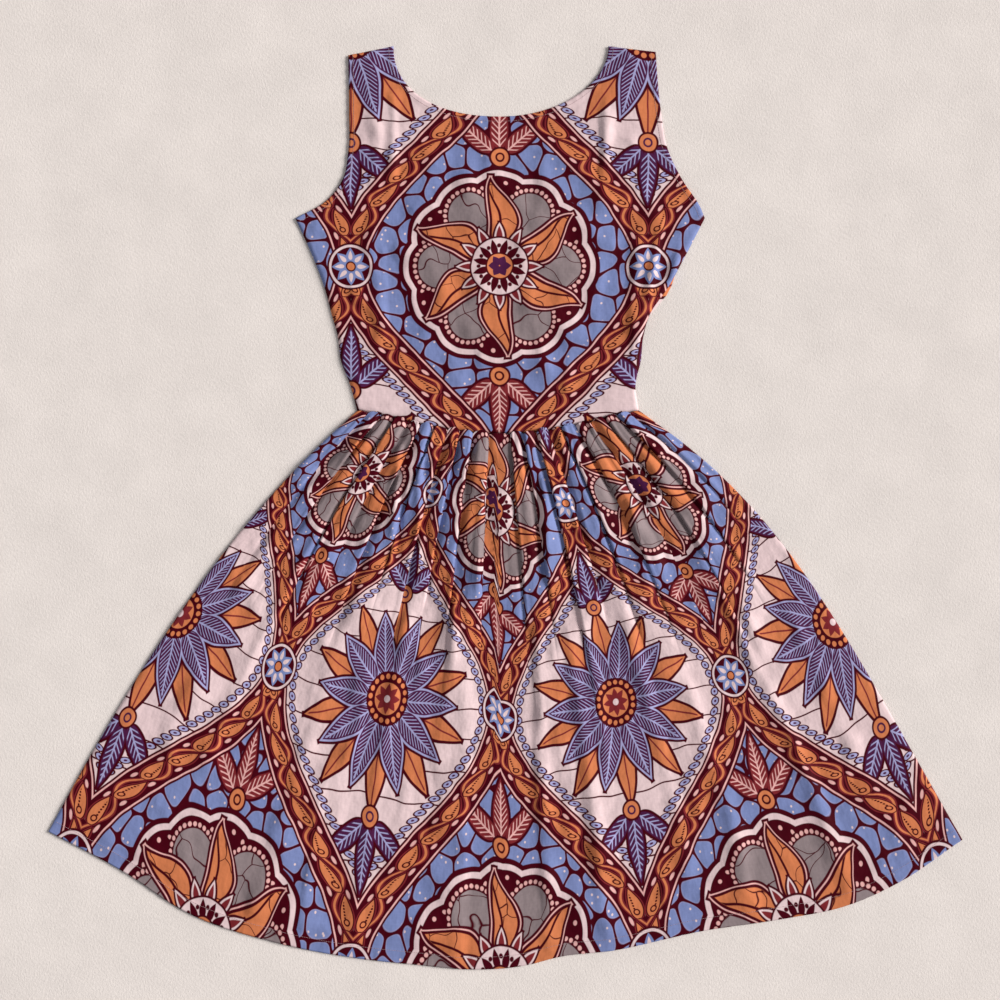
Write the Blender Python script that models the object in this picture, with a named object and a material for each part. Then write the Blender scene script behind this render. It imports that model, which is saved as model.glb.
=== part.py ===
"""A sleeveless dress in printed cotton, laid flat and face up.

A fitted bodice with a scooped neck is sewn at the waist to a gathered skirt.
Metres, +Z up. The neck is towards +Y and the dress's left side, as worn, is
towards +X. The floor is z = 0 and the origin is the middle of the outline.
"""
from math import radians

import bpy
import numpy as np

# Cloth
WALL = 0.0016               # a layer of cotton with its turnings, as one wall
SEAM_GAP = 0.0003           # between pieces that are sewn to each other
WAIST_GAP = 0.0004          # the same at the curved waist seam
FRONT_BASE = WALL + SEAM_GAP + WALL     # top of the front where it lies on the back

RIGHT, LEFT = 1, 2          # sides as worn, and their columns in the tables below

# Heights are measured up from the lowest point of the hem
WAIST_SIDE_UP = 0.587       # waist seam at the side seams
WAIST_DIP = 0.024           # how far the middle of the waist seam hangs below that
WAIST_DIP_SHAPE = 1.4       # how quickly the dip fades towards the sides
UNDERARM_UP = 0.7896
SHOULDER_NECK_UP = 0.9705   # top of the strap, neck end
SHOULDER_TIP_UP = {RIGHT: 0.9610, LEFT: 0.9645}     # top of the strap, armhole end

# Neckline: half a superellipse, fuller on the right side as it lies
NECK_HALF_WIDTH = 0.113
NECK_DEPTH = 0.074
NECK_POWER = {RIGHT: 2.25, LEFT: 1.95}
STRAP_CORNER = 0.83         # share of the half width where the strap's inner edge begins
BACK_NECK_DEEPER = 0.012    # the back neck lies hidden below the front one

# Half widths of the bodice from its centre line, along its two side edges
SIDE_SEAM = np.array([
    # up from hem, right side, left side
    (0.5870, 0.1512, 0.1450),
    (0.6155, 0.1589, 0.1415),
    (0.6395, 0.1682, 0.1470),
    (0.6648, 0.1716, 0.1496),
    (0.6914, 0.1788, 0.1580),
    (0.7140, 0.1848, 0.1738),
    (0.7529, 0.1995, 0.1953),
    (0.7896, 0.2163, 0.2142),
])
ARMHOLE = np.array([
    # up from hem, right side, left side
    (0.7896, 0.2163, 0.2142),
    (0.8040, 0.1890, 0.2080),
    (0.8260, 0.1690, 0.1930),
    (0.8590, 0.1606, 0.1764),
    (0.9030, 0.1598, 0.1680),
    (0.9705, 0.1608, 0.1620),
])

# Hem, from the right corner to the left corner
HEM = np.array([
    # across from the centre line, up from its lowest point
    (-0.4757, 0.1449),
    (-0.3938, 0.1008),
    (-0.3381, 0.0640),
    (-0.2373, 0.0284),
    (-0.1502, 0.0116),
    (-0.0924, 0.0052),
    (-0.0200, 0.0000),
    (0.0300, 0.0050),
    (0.0578, 0.0126),
    (0.1187, 0.0200),
    (0.2090, 0.0399),
    (0.2990, 0.0536),
    (0.3600, 0.0660),
    (0.4200, 0.0924),
    (0.4850, 0.1365),
])

# The skirt's threads fan out from the waist: their lean from straight down
# at the side seams, and the share of its length that each end keeps its direction
LEAN_AT_WAIST = {RIGHT: radians(50), LEFT: radians(57)}
LEAN_AT_HEM = {RIGHT: radians(28), LEFT: radians(30)}
WAIST_HANDLE = {RIGHT: 0.25, LEFT: 0.33}
HEM_HANDLE = 0.45

# Gathers of the front skirt. The cloth arches up between one valley and the next.
SHARE, ARCH_HEIGHT, REACH = 0, 1, 2
GATHERS = np.array([
    # valley's share across, height of the arch after it, share of the length it reaches
    (0.000, 0.0030, 0.30),
    (0.043, 0.0052, 0.45),
    (0.089, 0.0060, 0.60),
    (0.138, 0.0075, 0.75),
    (0.184, 0.0062, 0.55),
    (0.227, 0.0070, 0.62),
    (0.277, 0.0055, 0.40),
    (0.323, 0.0072, 0.80),
    (0.365, 0.0058, 0.50),
    (0.411, 0.0066, 0.90),
    (0.468, 0.0040, 0.55),
    (0.543, 0.0064, 0.60),
    (0.589, 0.0056, 0.45),
    (0.635, 0.0078, 0.92),
    (0.677, 0.0060, 0.65),
    (0.723, 0.0068, 0.55),
    (0.773, 0.0062, 0.70),
    (0.823, 0.0070, 0.55),
    (0.872, 0.0058, 0.72),
    (0.918, 0.0050, 0.45),
    (0.961, 0.0030, 0.30),
    (1.000, 0.0000, 0.30),
])
GATHER_AT_SEAM = 0.35       # share of an arch's height right at the waist seam
GATHER_RISE = 0.05          # share of the length where it reaches its full height
ARCH_ROUNDNESS = 0.7        # below 1 the arches are full and the valleys narrow

# Soft waves that run out to the hem
WAVES = np.array([
    # middle's share across, height, half width as a share
    (0.10, 0.0018, 0.09),
    (0.27, 0.0026, 0.08),
    (0.42, 0.0030, 0.06),
    (0.58, 0.0028, 0.07),
    (0.74, 0.0024, 0.08),
    (0.90, 0.0020, 0.09),
])

# Bodice: the bust's fullness and the loose folds below the left armhole
BUST_LOFT = 0.0045
SIDE_FOLDS = np.array([
    # share across from right to left, share up to the neck, height, half width, half length
    (0.10, 0.50, 0.0022, 0.030, 0.22),
    (0.84, 0.52, 0.0026, 0.022, 0.24),
    (0.90, 0.46, 0.0034, 0.020, 0.26),
    (0.95, 0.38, 0.0024, 0.016, 0.20),
])

# Closure at the centre of the back: a concealed zip
ZIP_WIDTH = 0.006
ZIP_BELOW_WAIST = 0.140
ZIP_SLIDER_LENGTH = 0.009
BACK_INSET = 0.0010         # the back's edges lie this far inside the front's
PEEK_UP = 0.708             # height where the back shows beside the left side seam
PEEK_REACH = 0.0050
PEEK_HALF_HEIGHT = 0.030

# Mesh density
SIDE_ROWS, ARMHOLE_ROWS, STRAP_ROWS = 6, 6, 3
STRAP_COLUMNS, NECK_COLUMNS = 5, 6
SKIRT_ROWS = 13
ROW_SPREAD = 1.5            # above 1 the skirt's rows crowd towards the waist
COLUMNS_PER_ARCH = 4
BACK_SKIRT_ROWS, BACK_SKIRT_COLUMNS = 10, 10


def along(table, column, at):
    """Smooth curve through a table's column, over the table's first column."""
    knots, values = table[:, 0], table[:, column]
    slopes = np.gradient(values, knots)
    low = np.clip(np.searchsorted(knots, at, side="right") - 1, 0, len(knots) - 2)
    step = knots[low + 1] - knots[low]
    t = (at - knots[low]) / step
    start = (1 + 2 * t) * (1 - t) ** 2 * values[low] + t * (1 - t) ** 2 * step * slopes[low]
    end = t * t * (3 - 2 * t) * values[low + 1] + t * t * (t - 1) * step * slopes[low + 1]
    return start + end


def smoothstep(value):
    value = np.clip(value, 0, 1)
    return value * value * (3 - 2 * value)


def bump(distance, half_width):
    """A soft ridge, 1 in its middle and 0 past its half width."""
    inside = np.clip(np.abs(distance) / half_width, 0, 1)
    return 0.5 + 0.5 * np.cos(np.pi * inside)


def waist_up(across):
    """Height of the waist seam at a distance from the centre line."""
    half_width = np.where(across < 0, SIDE_SEAM[0, RIGHT], SIDE_SEAM[0, LEFT])
    share = np.clip(np.abs(across) / half_width, 0, 1)
    return WAIST_SIDE_UP - WAIST_DIP * (1 - share ** 2) ** WAIST_DIP_SHAPE


def neck_drop(across, depth, power):
    """Drop of the neckline below the strap's top, at a distance from the centre."""
    share = np.minimum(across / NECK_HALF_WIDTH, 1)
    return depth * (1 - share ** power) ** (1 / power)


def neck_across(drop, depth, power):
    """The neckline's distance from the centre at a drop: the inverse of neck_drop."""
    share = np.minimum(drop / depth, 1)
    return NECK_HALF_WIDTH * (1 - share ** power) ** (1 / power)


def bodice_half(side, centre, neck_depth, inset=0.0, peek=0.0):
    """Half a bodice as a grid of (across, up), from its side edge to its centre.

    Rows run up from the waist to the neck, and on up the strap. Above the
    neck only the strap's columns count.
    """
    power = NECK_POWER[side]
    corner_across = STRAP_CORNER * NECK_HALF_WIDTH
    corner_up = SHOULDER_NECK_UP - neck_drop(corner_across, neck_depth, power)
    columns = STRAP_COLUMNS + NECK_COLUMNS

    def edge(up):
        seam = along(SIDE_SEAM, side, np.minimum(up, UNDERARM_UP))
        armhole = along(ARMHOLE, side, np.maximum(up, UNDERARM_UP))
        width = np.where(up <= UNDERARM_UP, seam, armhole) - inset
        return width + peek * bump(up - PEEK_UP, PEEK_HALF_HEIGHT)

    side_ups = np.concatenate([
        np.linspace(WAIST_SIDE_UP, UNDERARM_UP, SIDE_ROWS + 1),
        np.linspace(UNDERARM_UP, corner_up, ARMHOLE_ROWS + 1)[1:],
    ])
    share_up = ((side_ups - WAIST_SIDE_UP) / (corner_up - WAIST_SIDE_UP))[:, None]
    edges = edge(side_ups)[:, None]

    even = np.linspace(0, 1, columns + 1)
    strap_part = np.linspace(edges[-1, 0], corner_across, STRAP_COLUMNS + 1)
    neck_part = np.linspace(corner_across, centre, NECK_COLUMNS + 1)[1:]
    top = np.concatenate([strap_part, neck_part])
    top_share = (edges[-1, 0] - top) / (edges[-1, 0] - centre)
    share_in = even * (1 - share_up) + top_share * share_up
    across = edges - (edges - centre) * share_in

    neck_up = SHOULDER_NECK_UP - neck_drop(top, neck_depth, power)
    top_up = np.where(np.arange(columns + 1) <= STRAP_COLUMNS, corner_up, neck_up)
    sign = -1 if side == RIGHT else 1
    bottom_up = waist_up(sign * across[0])
    up = bottom_up * (1 - share_up) + top_up * share_up

    climb = np.linspace(0, 1, STRAP_ROWS + 1)[1:]
    inner_up = corner_up + (SHOULDER_NECK_UP - corner_up) * climb
    outer_up = corner_up + (SHOULDER_TIP_UP[side] - corner_up) * climb
    inner = neck_across(SHOULDER_NECK_UP - inner_up, neck_depth, power)
    outer = edge(outer_up)
    in_share = np.minimum(np.arange(columns + 1) / STRAP_COLUMNS, 1)
    strap_across = outer[:, None] + (inner - outer)[:, None] * in_share
    strap_up = outer_up[:, None] + (inner_up - outer_up)[:, None] * in_share

    across = np.vstack([across, strap_across])
    up = np.vstack([up, strap_up])
    return np.dstack([sign * across, up])


def bodice_cells(columns, straps):
    """Which cells of a bodice grid are cloth: all but those above the neck."""
    body_rows = SIDE_ROWS + ARMHOLE_ROWS
    cells = np.ones((body_rows + STRAP_ROWS, columns), dtype=bool)
    neck_end = columns - STRAP_COLUMNS if straps == 2 else columns
    cells[body_rows:, STRAP_COLUMNS:neck_end] = False
    return cells


def bodice_height(rows, columns):
    """Height of the front bodice over its resting level: fullness and folds."""
    share_up = np.minimum(np.arange(rows + 1) / (SIDE_ROWS + ARMHOLE_ROWS), 1)[:, None]
    share_in = np.linspace(0, 1, columns + 1)[None, :]
    full = np.sin(np.pi * np.clip(share_in, 0, 1)) ** 1.5 * np.sin(np.pi * share_up) ** 1.2
    height = BUST_LOFT * full
    for place, middle, tall, half_width, half_length in SIDE_FOLDS:
        height = height + tall * bump(share_in - place, half_width * 2) * bump(share_up - middle, half_length)
    return height


def hem_point(share):
    """Point of the hem at a share of its length, from the right to the left corner."""
    across = np.linspace(HEM[0, 0], HEM[-1, 0], 400)
    up = along(HEM, 1, across)
    length = np.concatenate([[0], np.cumsum(np.hypot(np.diff(across), np.diff(up)))])
    at = share * length[-1]
    return np.interp(at, length, across), np.interp(at, length, up)


def skirt_grid(shares, downs):
    """The skirt as a grid of (across, up): each thread is a Bezier curve.

    It leaves the waist and meets the hem at leans that grow from none in the
    middle to their full value at the side seams.
    """
    waist_across = -SIDE_SEAM[0, RIGHT] + (SIDE_SEAM[0, RIGHT] + SIDE_SEAM[0, LEFT]) * shares
    start = np.stack([waist_across, waist_up(waist_across) - WAIST_GAP])
    end = np.stack(hem_point(shares))
    sideways = 2 * shares - 1
    right = sideways < 0
    top_lean = sideways * np.where(right, LEAN_AT_WAIST[RIGHT], LEAN_AT_WAIST[LEFT])
    hem_lean = sideways * np.where(right, LEAN_AT_HEM[RIGHT], LEAN_AT_HEM[LEFT])
    length = np.hypot(*(end - start))
    waist_handle = length * np.where(right, WAIST_HANDLE[RIGHT], WAIST_HANDLE[LEFT])
    leave = start + waist_handle * np.stack([np.sin(top_lean), -np.cos(top_lean)])
    arrive = end - HEM_HANDLE * length * np.stack([np.sin(hem_lean), -np.cos(hem_lean)])
    t = downs[None, :, None]
    points = [point[:, None, :] for point in (start, leave, arrive, end)]
    weights = ((1 - t) ** 3, 3 * t * (1 - t) ** 2, 3 * t * t * (1 - t), t ** 3)
    grid = sum(weight * point for weight, point in zip(weights, points))
    return np.dstack([grid[0], grid[1]])


def gather_height(shares, downs):
    """Height of the front skirt's gathers and waves over its resting level."""
    arch = np.clip(np.searchsorted(GATHERS[:, SHARE], shares, side="right") - 1, 0, len(GATHERS) - 2)
    left, right = GATHERS[arch, SHARE], GATHERS[arch + 1, SHARE]
    s = np.clip((shares - left) / (right - left), 0, 1)
    profile = (4 * s * (1 - s)) ** ARCH_ROUNDNESS
    down = downs[:, None]
    rise = GATHER_AT_SEAM + (1 - GATHER_AT_SEAM) * smoothstep(down / GATHER_RISE)
    fade = np.clip(1 - down / GATHERS[arch, REACH], 0, 1) ** 1.6
    height = GATHERS[arch, ARCH_HEIGHT] * profile * rise * fade
    for middle, tall, half_width in WAVES:
        height = height + tall * bump(shares - middle, half_width) * smoothstep(down / 0.3)
    return height


def underside(flat, top):
    """The wall's lower face: further down where the cloth is steep, so that it
    keeps its thickness there, but never through the layer below."""
    run = np.hypot(*np.moveaxis(np.gradient(flat, axis=1), 2, 0))
    slope = np.gradient(top, axis=1) / run
    return np.maximum(top - WALL * np.sqrt(1 + slope ** 2), WALL + SEAM_GAP)


def wall(name, flat, top, bottom, cells, colour, roughness=0.85):
    """A closed wall of cloth between two heights over a grid of (across, up)."""
    rows, columns = flat.shape[:2]
    upper = np.dstack([flat, np.broadcast_to(top, (rows, columns))]).reshape(-1, 3)
    lower = np.dstack([flat, np.broadcast_to(bottom, (rows, columns))]).reshape(-1, 3)
    number = np.arange(rows * columns).reshape(rows, columns)
    quads = np.stack([number[:-1, :-1], number[:-1, 1:], number[1:, 1:], number[1:, :-1]], axis=-1)
    quads = quads[cells]
    if signed_area(flat) < 0:
        quads = quads[:, ::-1]
    below = len(upper)
    edges = np.concatenate([quads[:, [i, (i + 1) % 4]] for i in range(4)])
    known = {tuple(edge) for edge in edges.tolist()}
    rim = [(b, a) for a, b in known if (b, a) not in known]
    faces = quads.tolist()
    faces += (quads[:, ::-1] + below).tolist()
    faces += [(a, b, b + below, a + below) for a, b in rim]
    used, place = np.unique(np.array(faces), return_inverse=True)
    points = np.vstack([upper, lower])[used]
    PIECES.append((name, points, place.reshape(-1, 4), colour, roughness))


def signed_area(flat):
    """Positive where rows and columns of the grid turn anticlockwise."""
    along_row = flat[0, -1] - flat[0, 0]
    up_column = flat[-1, 0] - flat[0, 0]
    return along_row[0] * up_column[1] - along_row[1] * up_column[0]


def strip(name, left, right, low, high, colour, roughness):
    """A plain flat bar, for the zip's closed tapes and its slider."""
    flat = np.array([[(left, low), (right, low)], [(left, high), (right, high)]])
    wall(name, flat, WALL, 0.0, np.ones((1, 1), dtype=bool), colour, roughness)


def front_bodice():
    right = bodice_half(RIGHT, 0.0, NECK_DEPTH)
    left = bodice_half(LEFT, 0.0, NECK_DEPTH)
    flat = np.concatenate([right, left[:, -2::-1]], axis=1)
    rows, columns = flat.shape[0] - 1, flat.shape[1] - 1
    top = FRONT_BASE + bodice_height(rows, columns)
    wall("front_bodice", flat, top, top - WALL, bodice_cells(columns, 2), PRINT_GROUND)


def back_bodice():
    """Two halves that meet at the zip and rest flat on the floor."""
    centre = ZIP_WIDTH / 2 + SEAM_GAP
    for side, name, peek in ((RIGHT, "right", 0.0), (LEFT, "left", PEEK_REACH)):
        flat = bodice_half(side, centre, NECK_DEPTH + BACK_NECK_DEEPER, BACK_INSET, peek)
        wall("back_bodice_" + name, flat, WALL, 0.0, bodice_cells(flat.shape[1] - 1, 1), PRINT_GROUND)


def front_skirt():
    starts, ends = GATHERS[:-1, SHARE], GATHERS[1:, SHARE]
    steps = np.arange(COLUMNS_PER_ARCH) / COLUMNS_PER_ARCH
    shares = np.append((starts[:, None] + (ends - starts)[:, None] * steps).ravel(), 1.0)
    downs = np.linspace(0, 1, SKIRT_ROWS + 1) ** ROW_SPREAD
    flat = skirt_grid(shares, downs)
    top = FRONT_BASE + gather_height(shares, downs)
    cells = np.ones((SKIRT_ROWS, len(shares) - 1), dtype=bool)
    wall("front_skirt", flat, top, underside(flat, top), cells, PRINT_SKIRT)


def back_skirt():
    """Two halves with a slot for the zip at the top of their centre seam."""
    downs = np.linspace(0, 1, BACK_SKIRT_ROWS + 1)
    for name, shares in (("right", np.linspace(0, 0.5, BACK_SKIRT_COLUMNS + 1)),
                         ("left", np.linspace(1, 0.5, BACK_SKIRT_COLUMNS + 1))):
        flat = skirt_grid(shares, downs)
        inward = np.linspace(0, 1, BACK_SKIRT_COLUMNS + 1)
        seam = flat[:, -1, 0].copy()
        row_above = np.append(WAIST_SIDE_UP, flat[:-1, -1, 1])
        beside_zip = row_above > WAIST_SIDE_UP - WAIST_DIP - ZIP_BELOW_WAIST
        half_gap = np.where(beside_zip, ZIP_WIDTH / 2 + SEAM_GAP, SEAM_GAP)
        sign = -1 if name == "right" else 1
        flat[:, :, 0] += (sign * half_gap - seam)[:, None] * inward
        flat[:, :, 0] -= sign * BACK_INSET * (1 - inward)
        flat[-1, :, 1] += BACK_INSET
        cells = np.ones((BACK_SKIRT_ROWS, BACK_SKIRT_COLUMNS), dtype=bool)
        wall("back_skirt_" + name, flat, WALL, 0.0, cells, PRINT_SKIRT)


def back_zip():
    neck_up = SHOULDER_NECK_UP - NECK_DEPTH - BACK_NECK_DEEPER
    low = WAIST_SIDE_UP - WAIST_DIP - ZIP_BELOW_WAIST
    high = neck_up - ZIP_SLIDER_LENGTH - SEAM_GAP
    strip("back_zip", -ZIP_WIDTH / 2, ZIP_WIDTH / 2, low, high, ZIP_TAPE, 0.7)
    strip("zip_slider", -ZIP_WIDTH / 2, ZIP_WIDTH / 2, high + SEAM_GAP, neck_up, ZIP_METAL, 0.4)


def material(name, colour, roughness):
    made = bpy.data.materials.new(name)
    made.use_nodes = True
    shader = made.node_tree.nodes["Principled BSDF"]
    shader.inputs["Base Color"].default_value = (*colour, 1)
    shader.inputs["Roughness"].default_value = roughness
    shader.inputs["Metallic"].default_value = 0.0
    return made


def make_objects():
    """Turn the pieces into objects, with the middle of the outline at the origin."""
    everything = np.vstack([points for _, points, _, _, _ in PIECES])
    middle = (everything.min(axis=0) + everything.max(axis=0)) / 2
    for name, points, faces, colour, roughness in PIECES:
        mesh = bpy.data.meshes.new(name)
        moved = points - (middle[0], middle[1], 0)
        mesh.from_pydata(moved.tolist(), [], faces.tolist())
        mesh.shade_smooth()
        mesh.set_sharp_from_angle(angle=radians(50))
        mesh.materials.append(material(name + "_cloth", colour, roughness))
        made = bpy.data.objects.new(name, mesh)
        bpy.context.scene.collection.objects.link(made)


PRINT_GROUND = (0.42, 0.40, 0.52)
PRINT_SKIRT = (0.45, 0.33, 0.34)
ZIP_TAPE = (0.62, 0.52, 0.54)
ZIP_METAL = (0.55, 0.45, 0.47)
PIECES = []

for old in list(bpy.data.objects):
    bpy.data.objects.remove(old)
front_bodice()
back_bodice()
front_skirt()
back_skirt()
back_zip()
make_objects()
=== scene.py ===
"""The looks of a sleeveless wax print dress that lies flat on a pale floor.

The cloth repeats the outline of the dress's solids on finer grids, with its
gathers, creases, turned edges, stitching and print. Metres, +Z up, the neck
towards +Y.
"""

from functools import partial, reduce
from math import pi, radians

import bpy
import numpy as np
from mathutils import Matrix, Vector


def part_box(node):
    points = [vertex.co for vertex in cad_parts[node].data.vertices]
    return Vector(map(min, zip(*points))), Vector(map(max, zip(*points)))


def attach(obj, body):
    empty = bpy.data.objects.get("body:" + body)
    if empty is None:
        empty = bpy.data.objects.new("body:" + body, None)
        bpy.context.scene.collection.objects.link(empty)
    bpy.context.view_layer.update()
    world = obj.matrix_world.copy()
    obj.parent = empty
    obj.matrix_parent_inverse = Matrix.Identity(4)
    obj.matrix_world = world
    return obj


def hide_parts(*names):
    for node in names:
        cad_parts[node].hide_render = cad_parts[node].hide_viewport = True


bl_info = {
    "name": "Wax print dress",
    "version": (1, 0, 0),
    "blender": (4, 5, 0),
    "location": "3D View > Sidebar > Dress",
    "description": "Cloth, print, stitching and zip of a sleeveless dress that lies flat",
    "category": "Object",
}

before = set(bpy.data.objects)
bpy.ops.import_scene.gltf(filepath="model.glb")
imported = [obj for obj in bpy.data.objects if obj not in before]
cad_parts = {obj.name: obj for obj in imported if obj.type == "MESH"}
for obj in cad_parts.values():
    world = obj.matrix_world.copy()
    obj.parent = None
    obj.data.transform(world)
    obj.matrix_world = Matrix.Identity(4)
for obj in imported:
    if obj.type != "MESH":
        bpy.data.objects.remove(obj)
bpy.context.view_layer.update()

RIGHT, LEFT = 1, 2          # sides as worn, and their columns in the tables below

# Outline, in metres up from the lowest point of the hem and across from the centre line
WAIST_SIDE_UP = 0.587
WAIST_DIP = 0.024
WAIST_DIP_SHAPE = 1.4
WAIST_GAP = 0.0004
UNDERARM_UP = 0.7896
SHOULDER_NECK_UP = 0.9705
SHOULDER_TIP_UP = {RIGHT: 0.9610, LEFT: 0.9645}
NECK_HALF_WIDTH = 0.113
NECK_DEPTH = 0.074
NECK_POWER = {RIGHT: 2.25, LEFT: 1.95}
STRAP_CORNER = 0.83
BACK_NECK_DEEPER = 0.012
SIDE_SEAM = np.array([
    # up from hem, right side, left side
    (0.5870, 0.1512, 0.1450),
    (0.6155, 0.1589, 0.1415),
    (0.6395, 0.1682, 0.1470),
    (0.6648, 0.1716, 0.1496),
    (0.6914, 0.1788, 0.1580),
    (0.7140, 0.1848, 0.1738),
    (0.7529, 0.1995, 0.1953),
    (0.7896, 0.2163, 0.2142),
])
ARMHOLE = np.array([
    # up from hem, right side, left side
    (0.7896, 0.2163, 0.2142),
    (0.8040, 0.1890, 0.2080),
    (0.8260, 0.1690, 0.1930),
    (0.8590, 0.1606, 0.1764),
    (0.9030, 0.1598, 0.1680),
    (0.9705, 0.1608, 0.1620),
])
HEM = np.array([
    # across from the centre line, up from its lowest point
    (-0.4757, 0.1449),
    (-0.3938, 0.1008),
    (-0.3381, 0.0640),
    (-0.2373, 0.0284),
    (-0.1502, 0.0116),
    (-0.0924, 0.0052),
    (-0.0200, 0.0000),
    (0.0300, 0.0050),
    (0.0578, 0.0126),
    (0.1187, 0.0200),
    (0.2090, 0.0399),
    (0.2990, 0.0536),
    (0.3600, 0.0660),
    (0.4200, 0.0924),
    (0.4850, 0.1365),
])
LEAN_AT_WAIST = {RIGHT: radians(50), LEFT: radians(57)}
LEAN_AT_HEM = {RIGHT: radians(28), LEFT: radians(30)}
WAIST_HANDLE = {RIGHT: 0.25, LEFT: 0.33}
HEM_HANDLE = 0.45
BACK_INSET = 0.0010
PEEK_UP = 0.708
PEEK_REACH = 0.0050
PEEK_HALF_HEIGHT = 0.030

# The frame's origin, as a place in the outline above
ORIGIN_ACROSS = HEM[0, 0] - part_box("front_skirt")[0][0]
ORIGIN_UP = SHOULDER_NECK_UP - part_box("front_bodice")[1][1]

# Gathers of the front skirt, from the right side seam to the left one. A reach is the
# share of the skirt's length over which an arch fades out
SHARE, ARCH_HEIGHT, REACH, TIPPED, HIDDEN = 0, 1, 2, 3, 4
GATHERS = np.array([
    # valley's share, arch's height, its reach down, how far it tips over, cloth hidden in the valley
    (0.000, 0.0019, 0.30, 0.0, 0.0),
    (0.043, 0.0032, 0.45, 0.7, 0.8),
    (0.089, 0.0037, 0.60, 0.4, 0.9),
    (0.138, 0.0046, 0.75, -0.5, 1.3),
    (0.184, 0.0038, 0.55, 0.8, 0.8),
    (0.227, 0.0043, 0.62, 0.4, 1.0),
    (0.277, 0.0034, 0.40, -0.7, 0.7),
    (0.323, 0.0045, 0.80, 0.7, 1.6),
    (0.365, 0.0036, 0.50, 0.5, 1.0),
    (0.411, 0.0041, 0.90, 0.8, 1.6),
    (0.468, 0.0025, 0.55, 0.0, 1.1),
    (0.543, 0.0040, 0.60, -0.7, 1.1),
    (0.589, 0.0035, 0.45, -0.8, 1.0),
    (0.635, 0.0048, 0.92, -0.5, 1.6),
    (0.677, 0.0037, 0.65, 0.5, 0.9),
    (0.723, 0.0042, 0.55, -0.8, 1.0),
    (0.773, 0.0038, 0.70, -0.4, 0.8),
    (0.823, 0.0043, 0.55, 0.7, 1.2),
    (0.872, 0.0036, 0.72, -0.7, 0.8),
    (0.918, 0.0031, 0.45, -0.4, 0.9),
    (0.961, 0.0019, 0.30, 0.0, 0.8),
    (1.000, 0.0000, 0.30, 0.0, 0.0),
])
GATHER_AT_SEAM = 0.35       # share of an arch's height that it has at the waist seam
GATHER_RISE = 0.05
GATHER_FADE_POWER = 1.6
ARCH_ROUNDNESS = 0.5
SEAM_PUFF = 0.0070          # how far the highest arch bulges over the waist seam
SEAM_PUFF_START, SEAM_PUFF_END = 0.005, 0.050
SKIRT_LOFT = 0.0032         # the cloth hidden in the gathers holds the front up by this
LOFT_RISE, LOFT_FADE = 0.04, 0.8
NOTCH_DEPTH = 0.0050        # deepest fold line along a valley
NOTCH_HALF_WIDTH = 0.0016
NOTCH_SHARE = 0.38          # depth of a fold line for each unit of cloth that it hides
NOTCH_TIPPED = 0.6          # how far a fold line is a step rather than a trough
WAVE_FADE = 0.22            # share of the skirt's length over which a wave rises or fades
WAVES = np.array([
    # middle's share across, height, half width as a share, starts and ends as shares down
    (0.100, 0.0018, 0.090, 0.10, 1.10),
    (0.270, 0.0024, 0.080, 0.05, 1.10),
    (0.420, 0.0026, 0.060, 0.05, 1.10),
    (0.580, 0.0026, 0.070, 0.05, 1.10),
    (0.740, 0.0022, 0.080, 0.05, 1.10),
    (0.900, 0.0018, 0.090, 0.10, 1.10),
    (0.060, 0.0024, 0.020, 0.30, 0.85),
    (0.128, 0.0027, 0.016, 0.20, 0.70),
    (0.176, -0.0021, 0.018, 0.45, 1.10),
    (0.236, 0.0033, 0.020, 0.30, 0.95),
    (0.312, -0.0024, 0.014, 0.35, 0.80),
    (0.340, 0.0033, 0.016, 0.30, 1.10),
    (0.394, -0.0024, 0.013, 0.40, 0.90),
    (0.452, 0.0027, 0.015, 0.45, 1.10),
    (0.515, -0.0018, 0.012, 0.35, 0.75),
    (0.552, 0.0027, 0.016, 0.50, 1.10),
    (0.612, 0.0033, 0.014, 0.30, 0.85),
    (0.655, -0.0027, 0.014, 0.35, 1.10),
    (0.706, 0.0030, 0.018, 0.30, 0.80),
    (0.768, 0.0027, 0.018, 0.45, 1.10),
    (0.826, -0.0024, 0.016, 0.30, 0.85),
    (0.872, 0.0030, 0.018, 0.25, 1.00),
    (0.940, 0.0024, 0.018, 0.35, 0.90),
])
BUST_LOFT, BUST_ACROSS_POWER, BUST_UP_POWER = 0.0055, 1.5, 1.2

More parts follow.
